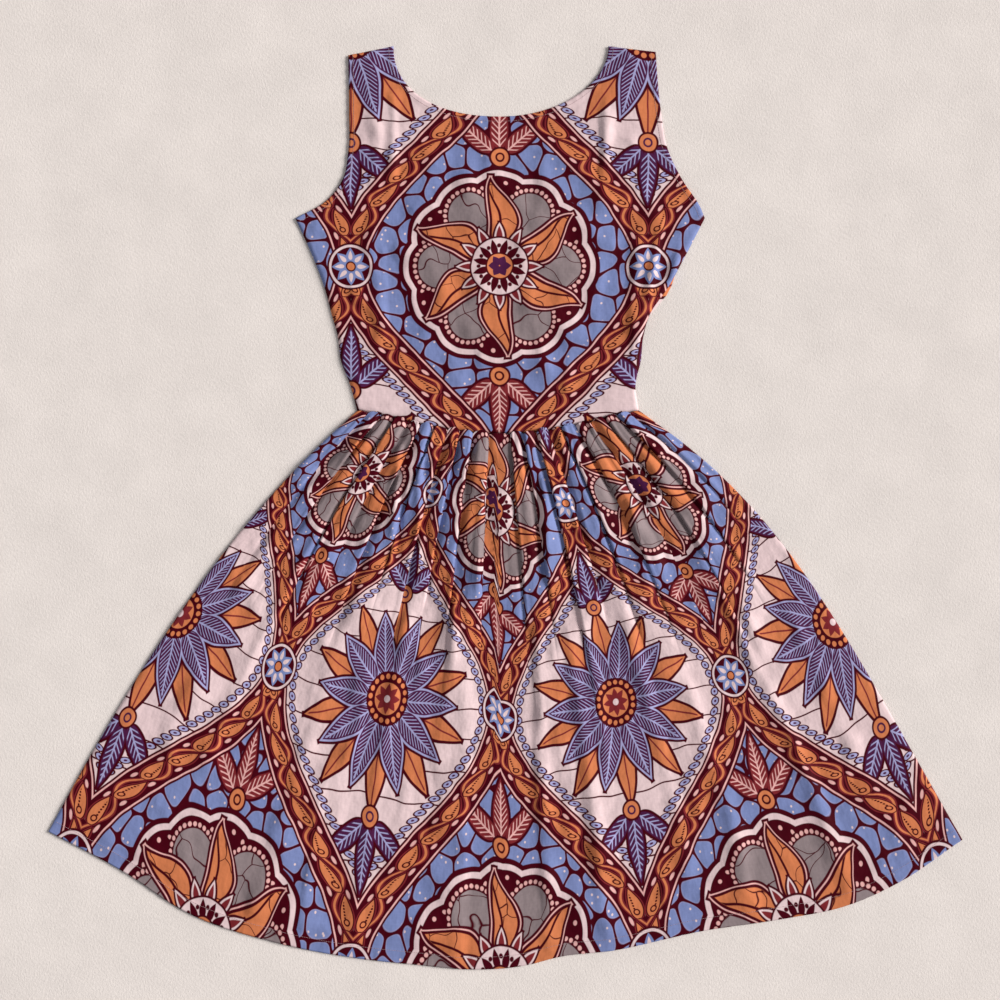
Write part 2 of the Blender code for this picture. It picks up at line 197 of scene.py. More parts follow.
# Creases given one by one: each runs through three points and fades at its ends
SKIRT_CREASES = np.array([
    # start across, up, middle across, up, end across, up, height, half width, stepped
    (-0.1396, 0.5586, -0.1670, 0.5429, -0.1880, 0.5292, 0.0022, 0.0070, 0),
    (-0.1271, 0.5617, -0.1470, 0.5460, -0.1670, 0.5229, -0.0026, 0.0050, -1),
    (-0.1922, 0.4704, -0.2132, 0.4379, -0.2289, 0.4168, -0.0016, 0.0060, 0),
    (-0.1071, 0.5607, -0.1082, 0.4935, -0.1144, 0.4095, -0.0042, 0.0035, -1),
    (-0.0819, 0.5607, -0.0819, 0.4935, -0.0882, 0.4148, -0.0040, 0.0035, -1),
    (-0.0515, 0.4515, -0.0473, 0.3728, -0.0462, 0.2940, -0.0030, 0.0045, -1),
    (-0.0420, 0.4300, -0.0385, 0.3728, -0.0370, 0.2940, 0.0020, 0.0070, 0),
    (-0.0199, 0.4935, -0.0210, 0.4095, -0.0210, 0.3297, -0.0034, 0.0042, -1),
    (-0.0290, 0.4700, -0.0300, 0.4095, -0.0310, 0.3500, 0.0020, 0.0070, 0),
    (0.0420, 0.5250, 0.0451, 0.4515, 0.0462, 0.3969, -0.0036, 0.0042, 1),
    (0.0540, 0.5250, 0.0561, 0.4515, 0.0580, 0.3800, 0.0018, 0.0070, 0),
    (0.0315, 0.3675, 0.0367, 0.2940, 0.0378, 0.2415, -0.0028, 0.0045, 1),
    (0.0493, 0.3780, 0.0483, 0.3465, 0.0473, 0.3129, -0.0024, 0.0045, 0),
    (-0.0116, 0.5565, -0.0105, 0.4935, -0.0053, 0.3990, -0.0022, 0.0030, 0),
    (0.0105, 0.5565, 0.0084, 0.4515, 0.0042, 0.3675, -0.0024, 0.0030, 0),
    (0.1176, 0.5145, 0.1260, 0.4914, 0.1439, 0.4462, -0.0026, 0.0045, 1),
    (0.1302, 0.5240, 0.1407, 0.4557, 0.1586, 0.3990, -0.0026, 0.0045, 1),
    (0.1240, 0.5000, 0.1330, 0.4600, 0.1480, 0.4150, 0.0018, 0.0060, 0),
    (0.1460, 0.5439, 0.1617, 0.5166, 0.1901, 0.4830, -0.0028, 0.0045, 1),
    (0.1586, 0.5460, 0.1754, 0.5145, 0.2037, 0.4725, 0.0020, 0.0060, 0),
    (0.2520, 0.4505, 0.2615, 0.4410, 0.2709, 0.4305, -0.0012, 0.0040, 0),
    (0.1711, 0.4462, 0.1785, 0.4179, 0.1880, 0.3864, -0.0014, 0.0045, 0),
    (-0.2900, 0.3400, -0.3300, 0.2700, -0.3550, 0.1900, 0.0024, 0.0140, 0),
    (-0.2300, 0.3000, -0.2500, 0.2100, -0.2650, 0.1200, -0.0021, 0.0120, 0),
    (-0.1400, 0.3300, -0.1500, 0.2300, -0.1600, 0.1200, 0.0024, 0.0130, 0),
    (-0.0800, 0.2600, -0.0850, 0.1700, -0.0900, 0.0700, -0.0018, 0.0110, 0),
    (0.0050, 0.2300, 0.0080, 0.1500, 0.0100, 0.0600, 0.0021, 0.0130, 0),
    (0.0900, 0.3300, 0.0950, 0.2300, 0.1050, 0.1100, 0.0024, 0.0120, 0),
    (0.1500, 0.2800, 0.1700, 0.1900, 0.1850, 0.0900, -0.0021, 0.0120, 0),
    (0.2300, 0.3200, 0.2550, 0.2300, 0.2700, 0.1400, 0.0024, 0.0140, 0),
    (0.2900, 0.3700, 0.3300, 0.2900, 0.3600, 0.2000, -0.0018, 0.0120, 0),
    (0.1460, 0.0262, 0.1796, 0.0315, 0.2152, 0.0420, 0.0018, 0.0060, 0),
])
BODICE_CREASES = np.array([
    # start across, up, middle across, up, end across, up, height, half width, stepped
    (-0.1092, 0.9397, -0.1071, 0.8820, -0.1124, 0.8000, 0.0038, 0.0060, 1),
    (-0.1331, 0.9240, -0.1319, 0.8715, -0.1361, 0.8085, 0.0017, 0.0080, 0),
    (0.1061, 0.9397, 0.1040, 0.8820, 0.1082, 0.8190, 0.0032, 0.0060, -1),
    (0.1400, 0.9300, 0.1390, 0.8900, 0.1420, 0.8500, 0.0017, 0.0070, 0),
    (0.1754, 0.7927, 0.1638, 0.7350, 0.1512, 0.6562, -0.0052, 0.0050, -1),
    (0.1901, 0.7875, 0.1817, 0.7298, 0.1617, 0.6720, 0.0049, 0.0060, 0),
    (0.1436, 0.7923, 0.1332, 0.7245, 0.1330, 0.6210, 0.0043, 0.0080, -1),
    (-0.1900, 0.7700, -0.1700, 0.7100, -0.1600, 0.6500, -0.0035, 0.0080, 0),
    (-0.1300, 0.7600, -0.1200, 0.6900, -0.1250, 0.6200, 0.0029, 0.0090, 1),
    (-0.0500, 0.6700, -0.0300, 0.6300, -0.0350, 0.5700, -0.0020, 0.0080, 0),
    (0.0600, 0.6900, 0.0700, 0.6400, 0.0650, 0.5750, 0.0026, 0.0080, 0),
    (0.1100, 0.7600, 0.1150, 0.7000, 0.1080, 0.6300, -0.0032, 0.0080, 0),
    (-0.1600, 0.8300, -0.1200, 0.8000, -0.0700, 0.7900, -0.0020, 0.0090, 0),
    (0.1600, 0.8300, 0.1200, 0.8050, 0.0800, 0.7950, 0.0020, 0.0090, 0),
    (-0.0350, 0.8850, -0.0330, 0.8300, -0.0280, 0.7600, 0.0017, 0.0090, 0),
    (0.0300, 0.8850, 0.0320, 0.8400, 0.0260, 0.7800, -0.0017, 0.0080, 0),
])

# How the layers lie
CAD_WALL = 0.0016
FRONT_REST = 2 * CAD_WALL + 0.0003      # top of the front where it lies on the back
BACK_TOP = 0.0007                       # top of the back, which lies on the floor
EDGE_LIFT = 0.0002                      # air between the two layers at an open edge
SEAM_ROLL = 0.0050                      # radius of the rolled side seams
WAIST_ROLL = 0.0022                     # how wide the cloth dives into the waist seam
TURNING = 0.0065                        # width of the turned neck and armhole edges
HEM_TURNING = 0.0140
TURNING_RISE, TURNING_STEP = 0.0004, 0.0012     # a turned edge is thicker, and where it ends is soft
OPEN_EDGE_AIR, OPEN_EDGE_FADE = 0.15, 0.030     # share of the lift left at an open edge
EDGE_TUCK_PITCH, WAIST_TUCK_PITCH = 0.011, 0.0085
BACK_SEAM_GAP = 0.0003

# Fine creases, drawn from seeds. Lengths in metres, and on the skirt shares of its size
SKIRT_SEED, SKIRT_FOLDS_SEED, BODICE_SEED = 3, 5, 8
CRUMPLE_WAVES = 14          # plane waves in the crumple
CRUMPLE_LENGTHS = (0.022, 0.075)
CRUMPLE_SWAYS = (0.5, 1.5)
FOLDS = 90                  # shallow folds down the skirt
FOLD_HALF_WIDTHS, FOLD_LEANS = (0.008, 0.018), (-0.03, 0.03)
FOLD_STARTS, FOLD_LENGTHS = (-0.2, 0.8), (0.25, 0.70)

# Sewing and the zip, whose tapes, coil and slider lie above each other
STITCH_PITCH, STITCH_LENGTH, THREAD_RADIUS = 0.0026, 0.0022, 0.00016
STITCH_SIDES = 6
NECK_STITCH_INSET, HEM_STITCH_INSET = 0.0050, 0.0130
TOOTH_PITCH, TOOTH_REACH, TOOTH_RADIUS = 0.00125, 0.0013, 0.00030
TOOTH_LEVEL, TOOTH_ASIDE = 0.0013, 0.00052
TAPE_LEVEL, TAPE_HALF_HEIGHT = 0.00085, 0.00015
TAPE_GAP = 0.0002
SLIDER_LEVEL, SLIDER_HALF_HEIGHT = 0.00095, 0.00065
PULL_LENGTH, PULL_WIDTH, PULL_LEVEL, PULL_HALF_HEIGHT = 0.0150, 0.0034, 0.00020, 0.00018
PULL_HINGE = 0.6            # share of the slider's length at which the pull hangs
SLIDER_OUTLINE = np.array([
    # share along, slider's half width and pull's half width as shares of their widest
    (0.00, 0.55, 0.50),
    (0.05, 0.72, 0.75),
    (0.20, 0.78, 0.55),
    (0.45, 0.82, 0.60),
    (0.70, 0.95, 0.90),
    (0.90, 1.00, 1.00),
    (0.97, 0.90, 0.85),
    (1.00, 0.60, 0.40),
])

# Grid density of the cloth
ARCH_COLUMNS = 11
WAIST_ROWS, SKIRT_ROWS, HEM_ROWS = 14, 116, 20
WAIST_PART, HEM_PART = 0.030, 0.045     # shares of the skirt's length that have finer rows
SIDE_ROWS, ARMHOLE_ROWS, STRAP_ROWS = 62, 56, 24
STRAP_COLUMNS, NECK_COLUMNS = 30, 34
BACK_COARSER = 3            # the hidden back takes one row and column for every three
BACK_SKIRT_COLUMNS, BACK_SKIRT_ROWS = 30, 40
TAPE_RINGS = 90

# The cut, before sewing
SKIRT_CUT_WAIST, SKIRT_CUT_HEM = 0.86, 1.00
SKIRT_CUT_LENGTH = 0.565
VISIBLE_SQUEEZE = 1.35      # printed cloth that shows for each unit of width at the gathers
SKIRT_PRINT_START = 0.085   # how far below the waist seam a blue cell has its middle
BODICE_PRINT_UP = 0.740     # where a blue cell has its middle on the front bodice
BACK_PRINT_PLACE = (0.1, 0.5)

PRINT_MAP = "Cloth"
MM = 0.001

# The four corners of every cell of a grid, as slices of its points
CORNERS = (np.s_[:-1, :-1], np.s_[:-1, 1:], np.s_[1:, 1:], np.s_[1:, :-1])

# The print, in millimetres of cloth. What fills a cell is drawn for one of DRAWN_WIDTH
# and grows with it
INKS = ("ground", "line", "brick", "orange", "blue", "grey", "lilac", "purple", "pink")
DRAWN_WIDTH = 250
DYE_BLEED = 0.6             # width over which the dye fades at an edge
WAVER_LENGTH, WAVER = 32, 3.2           # size of the noise that bends the lines, and its reach
LEAF_PEAK = 2.6             # one over the highest value of the root of t times (1 - t)
BAND_HALF_WIDTH = 17.4
BAND_STRETCH = 1.235        # length of a band for each unit of cloth that it crosses
BAND_RIPPLE = 0.0176        # how far that drifts, as a share of the repeat
VINE_WAVES, VINE_SWAY = 9, 8.6          # waves in each repeat, and their height
VINE_LEAF_REACH, VINE_LEAF_HALF_WIDTH = 16.5, 6.73
STRING_OFF_BAND = 25                    # from a band's middle to the string of pearls
PEBBLE_SIZE, SPARK_SPACING = 25, 15
CRACKLE_PITCH = 31
CRACKLE_WAVES = ((21, 2.2), (6.5, 0.6))     # length of each sine over two pi, and its height
CRACK_SIZE, CRACK_BEND = 34, 24
SCALLOP_DEPTH = 5.0
LOBES, LOBE_OFF_MIDDLE, LOBE_RADIUS, LOBE_ROUNDNESS = 6, 48, 18.5, 0.92
SWIRL_START, SWIRL_END, SWIRL_HALF_WIDTH, SWIRL_SWAY = 19, 75, 11.92, 5.5
DROP_OFF_MIDDLE, DROP_ASIDE, DROP_RADIUS = 61, 10.5, 4.2
SPRAY_OFF_MIDDLE, SPRAY_SPREAD = 92, 0.85   # the spread is an angle in radians

# Settings that nodes share
FLAT_NOISE = {"noise_dimensions": "2D"}
FLAT_CELLS = {"voronoi_dimensions": "2D"}
COLOUR_MIX = {"output": 2, "data_type": "RGBA"}
MULTIPLIED = {**COLOUR_MIX, "blend_type": "MULTIPLY"}

# Floor, lights and camera
FLOOR_HALF = 4.0
KEY_FROM, KEY_SOFTNESS, KEY_COLOUR = (2.15, 0.45, 1.10), radians(28), "#FFFAF5"
FILL_COLOUR = "#F4F2F4"
SHOWN_FLOOR = 1.05          # metres of floor across the photo
SENSOR, LENS = 36.0, 50.0
EYE_ACROSS, EYE_UP = -0.0057, 0.0082


def linear(hex_colour):
    """sRGB hex to the linear values that shaders use."""
    parts = np.array([int(hex_colour[i:i + 2], 16) for i in (1, 3, 5)]) / 255
    curved = ((parts + 0.055) / 1.055) ** 2.4
    return tuple(np.where(parts <= 0.04045, parts / 12.92, curved))


def colour_setting(name, description, hex_colour):
    """A colour that a user may change, with its default as sRGB hex."""
    return bpy.props.FloatVectorProperty(
        name=name, description=description, subtype="COLOR", size=3,
        min=0, max=1, default=linear(hex_colour))


def length_setting(name, description, metres):
    """A length that a user may change, in metres."""
    return bpy.props.FloatProperty(
        name=name, description=description, unit="LENGTH", min=0, default=metres)


class DressCloth(bpy.types.PropertyGroup):
    """How the cotton lies."""
    thickness: length_setting("Thickness", "Thickness of one layer of cotton", 0.0006)
    crumple: length_setting("Crumple", "Height of the fine unpressed creases", 0.00135)
    fine_fold: length_setting("Fine fold", "Height of the shallow folds down the skirt", 0.0024)
    pucker: length_setting("Pucker", "Height of the small tucks along sewn edges", 0.00045)
    roughness: bpy.props.FloatProperty(
        name="Roughness", description="Roughness of the washed cotton", min=0, max=1, default=0.62)


class DressPrint(bpy.types.PropertyGroup):
    """The wax print's repeat and its dyes."""
    repeat_across: length_setting("Repeat across", "Width of one ogee cell", 0.312)
    repeat_along: length_setting("Repeat along", "Length of one ogee cell", 0.490)
    ground: colour_setting("Ground", "Undyed cotton, faintly pink", "#E1C9CC")
    line: colour_setting("Line", "Burgundy of the outlines", "#440010")
    brick: colour_setting("Brick", "Brick red inside bands and leaves", "#7A262C")
    orange: colour_setting("Orange", "Orange of the leaves", "#D07C52")
    blue: colour_setting("Blue", "Blue of the pebbled ground", "#7A88BA")
    grey: colour_setting("Grey", "Warm grey of the crackled lobes", "#8E8083")
    lilac: colour_setting("Lilac", "Lilac of petal rims and ribs", "#A3A3CE")
    purple: colour_setting("Purple", "Deep purple inside petals", "#4A1A42")
    pink: colour_setting("Pink", "Thin pink lines between burgundy ones", "#E3AFAC")


class DressStage(bpy.types.PropertyGroup):
    """Floor and lights."""
    floor: colour_setting("Floor", "Plain pale floor", "#E6DFDB")
    key_power: bpy.props.FloatProperty(
        name="Key", description="Strength of the soft light from the right", min=0, default=4.5)
    fill_strength: bpy.props.FloatProperty(
        name="Fill", description="Brightness of the light from all round", min=0, default=0.36)


def along(table, column, at):
    """Smooth curve through a table's column, over its first column: each stretch
    is a cubic that meets its neighbours with the same slope."""
    knots, values = table[:, 0], table[:, column]
    slopes = np.gradient(values, knots)
    low = np.clip(np.searchsorted(knots, at, side="right") - 1, 0, len(knots) - 2)
    step = knots[low + 1] - knots[low]
    t = (at - knots[low]) / step
    start = (1 + 2 * t) * (1 - t) ** 2 * values[low] + t * (1 - t) ** 2 * step * slopes[low]
    end = t * t * (3 - 2 * t) * values[low + 1] + t * t * (t - 1) * step * slopes[low + 1]
    return start + end


def smoothstep(value):
    """0 to 1 with level ends: three squares less two cubes."""
    value = np.clip(value, 0, 1)
    return value * value * (3 - 2 * value)


def bump(distance, half_width):
    """Half a cosine wave: 1 in the middle and 0 past the half width."""
    inside = np.clip(np.abs(distance) / half_width, 0, 1)
    return 0.5 + 0.5 * np.cos(np.pi * inside)


def rolled(distance, radius):
    """A quarter circle: 0 at the edge and 1 from one radius inwards."""
    inside = np.clip(distance / radius, 0, 1)
    return np.sqrt(1 - (1 - inside) ** 2)


def run_along(line):
    """Distance along a line of points to each of them."""
    return np.concatenate([[0], np.cumsum(np.hypot(*np.diff(line, axis=0).T))])


def waist_up(across):
    """Height of the waist seam: level at the sides, with a dip of one less the
    share across squared, to a power."""
    half_width = np.where(across < 0, SIDE_SEAM[0, RIGHT], SIDE_SEAM[0, LEFT])
    share = np.clip(np.abs(across) / half_width, 0, 1)
    return WAIST_SIDE_UP - WAIST_DIP * (1 - share ** 2) ** WAIST_DIP_SHAPE


def neck_drop(across, depth, power):
    """Drop of the neckline below the strap, as a superellipse."""
    share = np.minimum(across / NECK_HALF_WIDTH, 1)
    return depth * (1 - share ** power) ** (1 / power)


def neck_across(drop, depth, power):
    """The neckline's distance from the centre at a drop: the inverse of neck_drop."""
    share = np.minimum(drop / depth, 1)
    return NECK_HALF_WIDTH * (1 - share ** power) ** (1 / power)


def bodice_half(side, centre, neck_depth, coarser=1, inset=0.0, peek=0.0):
    """Half a bodice as a grid of (across, up). Each row runs from the side edge
    straight to the centre, and each column from the waist to the neck or strap."""
    side_rows, armhole_rows, strap_rows = (n // coarser for n in (SIDE_ROWS, ARMHOLE_ROWS, STRAP_ROWS))
    strap_columns, neck_columns = STRAP_COLUMNS // coarser, NECK_COLUMNS // coarser
    power = NECK_POWER[side]
    corner_across = STRAP_CORNER * NECK_HALF_WIDTH
    corner_up = SHOULDER_NECK_UP - neck_drop(corner_across, neck_depth, power)
    columns = strap_columns + neck_columns

    def edge(up):
        """Distance of the side seam or armhole from the centre line at a height."""
        seam = along(SIDE_SEAM, side, np.minimum(up, UNDERARM_UP))
        armhole = along(ARMHOLE, side, np.maximum(up, UNDERARM_UP))
        width = np.where(up <= UNDERARM_UP, seam, armhole) - inset
        return width + peek * bump(up - PEEK_UP, PEEK_HALF_HEIGHT)

    side_ups = np.concatenate([
        np.linspace(WAIST_SIDE_UP, UNDERARM_UP, side_rows + 1),
        np.linspace(UNDERARM_UP, corner_up, armhole_rows + 1)[1:],
    ])
    share_up = ((side_ups - WAIST_SIDE_UP) / (corner_up - WAIST_SIDE_UP))[:, None]
    edges = edge(side_ups)[:, None]
    even = np.linspace(0, 1, columns + 1)
    strap_part = np.linspace(edges[-1, 0], corner_across, strap_columns + 1)
    neck_part = np.linspace(corner_across, centre, neck_columns + 1)[1:]
    top = np.concatenate([strap_part, neck_part])
    top_share = (edges[-1, 0] - top) / (edges[-1, 0] - centre)
    share_in = even * (1 - share_up) + top_share * share_up
    across = edges - (edges - centre) * share_in

    neck_up = SHOULDER_NECK_UP - neck_drop(top, neck_depth, power)
    top_up = np.where(np.arange(columns + 1) <= strap_columns, corner_up, neck_up)
    sign = -1 if side == RIGHT else 1
    up = waist_up(sign * across[0]) * (1 - share_up) + top_up * share_up

    climb = np.linspace(0, 1, strap_rows + 1)[1:]
    inner_up = corner_up + (SHOULDER_NECK_UP - corner_up) * climb
    outer_up = corner_up + (SHOULDER_TIP_UP[side] - corner_up) * climb
    inner = neck_across(SHOULDER_NECK_UP - inner_up, neck_depth, power)
    outer = edge(outer_up)
    in_share = np.minimum(np.arange(columns + 1) / strap_columns, 1)
    strap_across = outer[:, None] + (inner - outer)[:, None] * in_share
    strap_up = outer_up[:, None] + (inner_up - outer_up)[:, None] * in_share
    across = np.vstack([across, strap_across])
    up = np.vstack([up, strap_up])
    return np.dstack([sign * across, up])


def bodice_cells(columns, straps, coarser=1):
    """Which cells of a bodice grid are cloth: all but those above the neck."""
    body_rows = SIDE_ROWS // coarser + ARMHOLE_ROWS // coarser
    strap_columns = STRAP_COLUMNS // coarser
    cells = np.ones((body_rows + STRAP_ROWS // coarser, columns), dtype=bool)
    neck_end = columns - strap_columns if straps == 2 else columns
    cells[body_rows:, strap_columns:neck_end] = False
    return cells


def hem_point(share):
    """Point of the hem at a share of its length, from the right to the left corner."""
    across = np.linspace(HEM[0, 0], HEM[-1, 0], 400)
    up = along(HEM, 1, across)
    run = run_along(np.column_stack([across, up]))
    at = share * run[-1]
    return np.interp(at, run, across), np.interp(at, run, up)


def skirt_threads(shares, downs):
    """The skirt as a grid of (across, up). Each thread is a cubic Bezier curve from
    the waist seam to the hem, with leans that grow from none in the middle to
    their full value at the side seams."""
    waist_across = -SIDE_SEAM[0, RIGHT] + (SIDE_SEAM[0, RIGHT] + SIDE_SEAM[0, LEFT]) * shares
    start = np.stack([waist_across, waist_up(waist_across) - WAIST_GAP])
    end = np.stack(hem_point(shares))
    sideways = 2 * shares - 1
    right = sideways < 0
    top_lean = sideways * np.where(right, LEAN_AT_WAIST[RIGHT], LEAN_AT_WAIST[LEFT])
    hem_lean = sideways * np.where(right, LEAN_AT_HEM[RIGHT], LEAN_AT_HEM[LEFT])
    length = np.hypot(*(end - start))
    waist_handle = length * np.where(right, WAIST_HANDLE[RIGHT], WAIST_HANDLE[LEFT])
    leave = start + waist_handle * np.stack([np.sin(top_lean), -np.cos(top_lean)])
    arrive = end - HEM_HANDLE * length * np.stack([np.sin(hem_lean), -np.cos(hem_lean)])
    t = downs[None, :, None]
    points = [point[:, None, :] for point in (start, leave, arrive, end)]
    weights = ((1 - t) ** 3, 3 * t * (1 - t) ** 2, 3 * t * t * (1 - t), t ** 3)
    grid = sum(weight * point for weight, point in zip(weights, points))
    return np.dstack([grid[0], grid[1]])


def arch_of(shares):
    """Which gather each column belongs to."""
    return np.clip(np.searchsorted(GATHERS[:, SHARE], shares, side="right") - 1, 0, len(GATHERS) - 2)


def gathers(shares, downs):
    """Height of the gathers over the resting cloth, how far it tips sideways, and how
    far it bulges up over the waist seam.

    Between two valleys the cloth is an arch, four times s times (1 - s) to a
    power, that rises from the seam and fades out at its own reach."""
    arch = arch_of(shares)
    left, right = GATHERS[arch, SHARE], GATHERS[arch + 1, SHARE]
    s = np.clip((shares - left) / (right - left), 0, 1)
    profile = (4 * s * (1 - s)) ** ARCH_ROUNDNESS
    down = downs[:, None]
    rise = GATHER_AT_SEAM + (1 - GATHER_AT_SEAM) * smoothstep(down / GATHER_RISE)
    bulge = smoothstep(down / SEAM_PUFF_START) * (1 - smoothstep(down / SEAM_PUFF_END))
    puff = SEAM_PUFF * GATHERS[arch, ARCH_HEIGHT] / GATHERS[:, ARCH_HEIGHT].max() * profile * bulge
    fade = np.clip(1 - down / GATHERS[arch, REACH], 0, 1) ** GATHER_FADE_POWER
    height = GATHERS[arch, ARCH_HEIGHT] * profile * rise * fade
    tipped = height * GATHERS[arch, TIPPED]
    for middle, tall, half_width, start, end in WAVES:
        shown = smoothstep((down - start) / WAVE_FADE) * (1 - smoothstep((down - end) / WAVE_FADE))
        height = height + tall * bump(shares - middle, half_width) * shown
    return height, tipped, puff


def bell_slope(away):
    """A ridge on one side and a trough on the other: the slope of a bell, with peaks of 1."""
    return away * np.exp(0.5 - 0.5 * away ** 2)


def nearest_on(flat, line):
    """For each point of a grid, its distance to a line of points and how far along it is."""
    run = run_along(line)
    away = np.hypot(flat[..., None, 0] - line[:, 0], flat[..., None, 1] - line[:, 1])
    closest = away.argmin(axis=-1)
    return np.take_along_axis(away, closest[..., None], -1)[..., 0], run[closest]


def creases(flat, table):
    """Soft ridges and troughs: each follows a parabola through its three points, with
    a sine along it that is 0 at both ends. Across it is a bell, or for a stepped one
    a ridge on one side and a trough on the other."""
    height = np.zeros(flat.shape[:2])
    t = np.linspace(0, 1, 25)[:, None]
    for row in table:
        start, middle, end = row[:6].reshape(3, 2)
        tall, half_width, stepped = row[6:]
        line = (1 - t) * (1 - 2 * t) * start + 4 * t * (1 - t) * middle + t * (2 * t - 1) * end
        reach = 3 * half_width
        low, high = line.min(axis=0) - reach, line.max(axis=0) + reach
        near = np.all((flat > low) & (flat < high), axis=-1)
        away, run = nearest_on(flat[near], line)
        away = away / half_width
        fade = np.sin(np.pi * np.clip(run / run.max(), 0, 1)) ** 0.7
        across_line = (end - start)[::-1] * (1, -1)
        side = np.sign((flat[near] - middle) @ across_line)
        profile = stepped * side * bell_slope(away) if stepped else np.exp(-away ** 2)
        height[near] += tall * fade * profile
    return height


def crumple(flat, height, seed):
    """Fine uneven creases: plane waves of many directions, sharpened so that their
    crests are narrow and their troughs wide."""
    draw = np.random.default_rng(seed)
    total = np.zeros(flat.shape[:2])
    for _ in range(CRUMPLE_WAVES):
        heading = draw.uniform(0, np.pi)
        wave_length = draw.uniform(*CRUMPLE_LENGTHS)
        phase = draw.uniform(0, 2 * np.pi)
        sway = draw.uniform(*CRUMPLE_SWAYS)
        run = flat[..., 0] * np.cos(heading) + flat[..., 1] * np.sin(heading)
        cross = flat[..., 1] * np.cos(heading) - flat[..., 0] * np.sin(heading)
        bend = sway * np.sin(cross / wave_length + phase)
        total += 1 - 2 * np.abs(np.sin(np.pi * run / wave_length + phase + bend))
    return height * total / np.sqrt(CRUMPLE_WAVES)


def fine_folds(shares, downs, height, seed):
    """Shallow folds down the skirt, at drawn places: half a cosine wave across each, a
    sine along it, and a lean."""
    draw = np.random.default_rng(seed)
    middle = draw.uniform(0, 1, FOLDS)
    half_width = draw.uniform(*FOLD_HALF_WIDTHS, FOLDS)
    start = draw.uniform(*FOLD_STARTS, FOLDS)
    length = draw.uniform(*FOLD_LENGTHS, FOLDS)
    tall = height * draw.uniform(-1, 1, FOLDS)
    lean = draw.uniform(*FOLD_LEANS, FOLDS)
    run = np.clip((downs[:, None, None] - start) / length, 0, 1)
    across = bump(shares[None, :, None] - middle - lean * run, half_width)
    return (tall * np.sin(np.pi * run) * across).sum(axis=-1)


def pucker(away, run, height, pitch):
    """Small tucks along a sewn edge: a sine along it whose pitch drifts by two slower
    sines, and which fades inwards as an exponential."""
    drift = 1.3 * np.sin(run / (pitch * 2.7)) + 0.8 * np.sin(run / (pitch * 4.3) + 1)
    return height * np.sin(2 * np.pi * run / pitch + drift) * np.exp(-away / (1.5 * pitch))


def cloth_mesh(name, flat, height, cells, corner_map):
    """A sheet of cloth from a grid of (across, up) and heights. Quads join the cells,
    with the printed cloth's place at each corner, and Solidify gives the thickness."""
    rows, columns = flat.shape[:2]
    points = np.dstack([flat - (ORIGIN_ACROSS, ORIGIN_UP), height]).reshape(-1, 3)
    number = np.arange(rows * columns).reshape(rows, columns)
    quads = np.stack([number[corner] for corner in CORNERS], axis=-1)[cells]
    place = corner_map[cells]
    a, b, c = (points[quads[:, i], :2] for i in (0, 1, 3))
    turn = (b[:, 0] - a[:, 0]) * (c[:, 1] - a[:, 1]) - (b[:, 1] - a[:, 1]) * (c[:, 0] - a[:, 0])
    if turn.sum() < 0:
        quads, place = quads[:, ::-1], place[:, ::-1]
    used, compact = np.unique(quads, return_inverse=True)
    mesh = bpy.data.meshes.new(name)
    mesh.from_pydata(points[used].tolist(), [], compact.reshape(-1, 4).tolist())
    layer = mesh.uv_layers.new(name=PRINT_MAP)
    layer.data.foreach_set("uv", place.reshape(-1).astype(np.float32))
    mesh.shade_smooth()
    made = bpy.data.objects.new(name, mesh)
    bpy.context.scene.collection.objects.link(made)
    wall = made.modifiers.new("Thickness", "SOLIDIFY")
    wall.thickness = bpy.context.scene.dress_cloth.thickness
    wall.offset = -1
    mesh.materials.append(bpy.data.materials.get("printed_wax_cotton") or printed_wax_cotton())
    return made


def lofted(name, rings, material):
    """Closed bars in one mesh, from an array of bars, rings, sides and x, y, z. Quads
    join each ring to the next, and a face closes each end."""
    bars, levels, sides = rings.shape[:3]
    number = np.arange(bars * levels * sides).reshape(bars, levels, sides)
    beside = np.roll(number, -1, axis=2)
    walls = np.stack([number[:, :-1], beside[:, :-1], beside[:, 1:], number[:, 1:]], axis=-1)
    faces = walls.reshape(-1, 4).tolist() + number[:, 0, ::-1].tolist() + number[:, -1].tolist()
    mesh = bpy.data.meshes.new(name)
    mesh.from_pydata(rings.reshape(-1, 3).tolist(), [], faces)
    mesh.shade_smooth()
    mesh.materials.append(material)
    made = bpy.data.objects.new(name, mesh)
    bpy.context.scene.collection.objects.link(made)
    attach(made, "root")
    return made


def bars(centres, lengthwise, sideways, lengths, radii, flatness=1.0):
    """Rings of bars that share a shape: at each share of the length an ellipse that is
    radius wide to each side, and as much as flatness of that high."""
    turn = 2 * np.pi * np.arange(STITCH_SIDES) / STITCH_SIDES
    upright = np.array([0, 0, 1])
    spine = centres[:, None, None] + lengthwise[:, None, None] * lengths[:, None, None]
    round_it = (np.cos(turn)[:, None] * sideways[:, None, None]
                + flatness * np.sin(turn)[:, None] * upright)
    return spine + radii[:, None, None] * round_it


def surface_at(flat, height, spots):
    """Height of a cloth grid at other places: its four nearest points, each weighted
    by one over its distance squared."""
    points, levels = flat.reshape(-1, 2), height.ravel()
    away = ((spots[:, None] - points) ** 2).sum(axis=-1)
    nearest = np.argpartition(away, 4, axis=1)[:, :4]
    weight = 1 / (np.take_along_axis(away, nearest, 1) + 1e-9)
    return (levels[nearest] * weight).sum(axis=1) / weight.sum(axis=1)


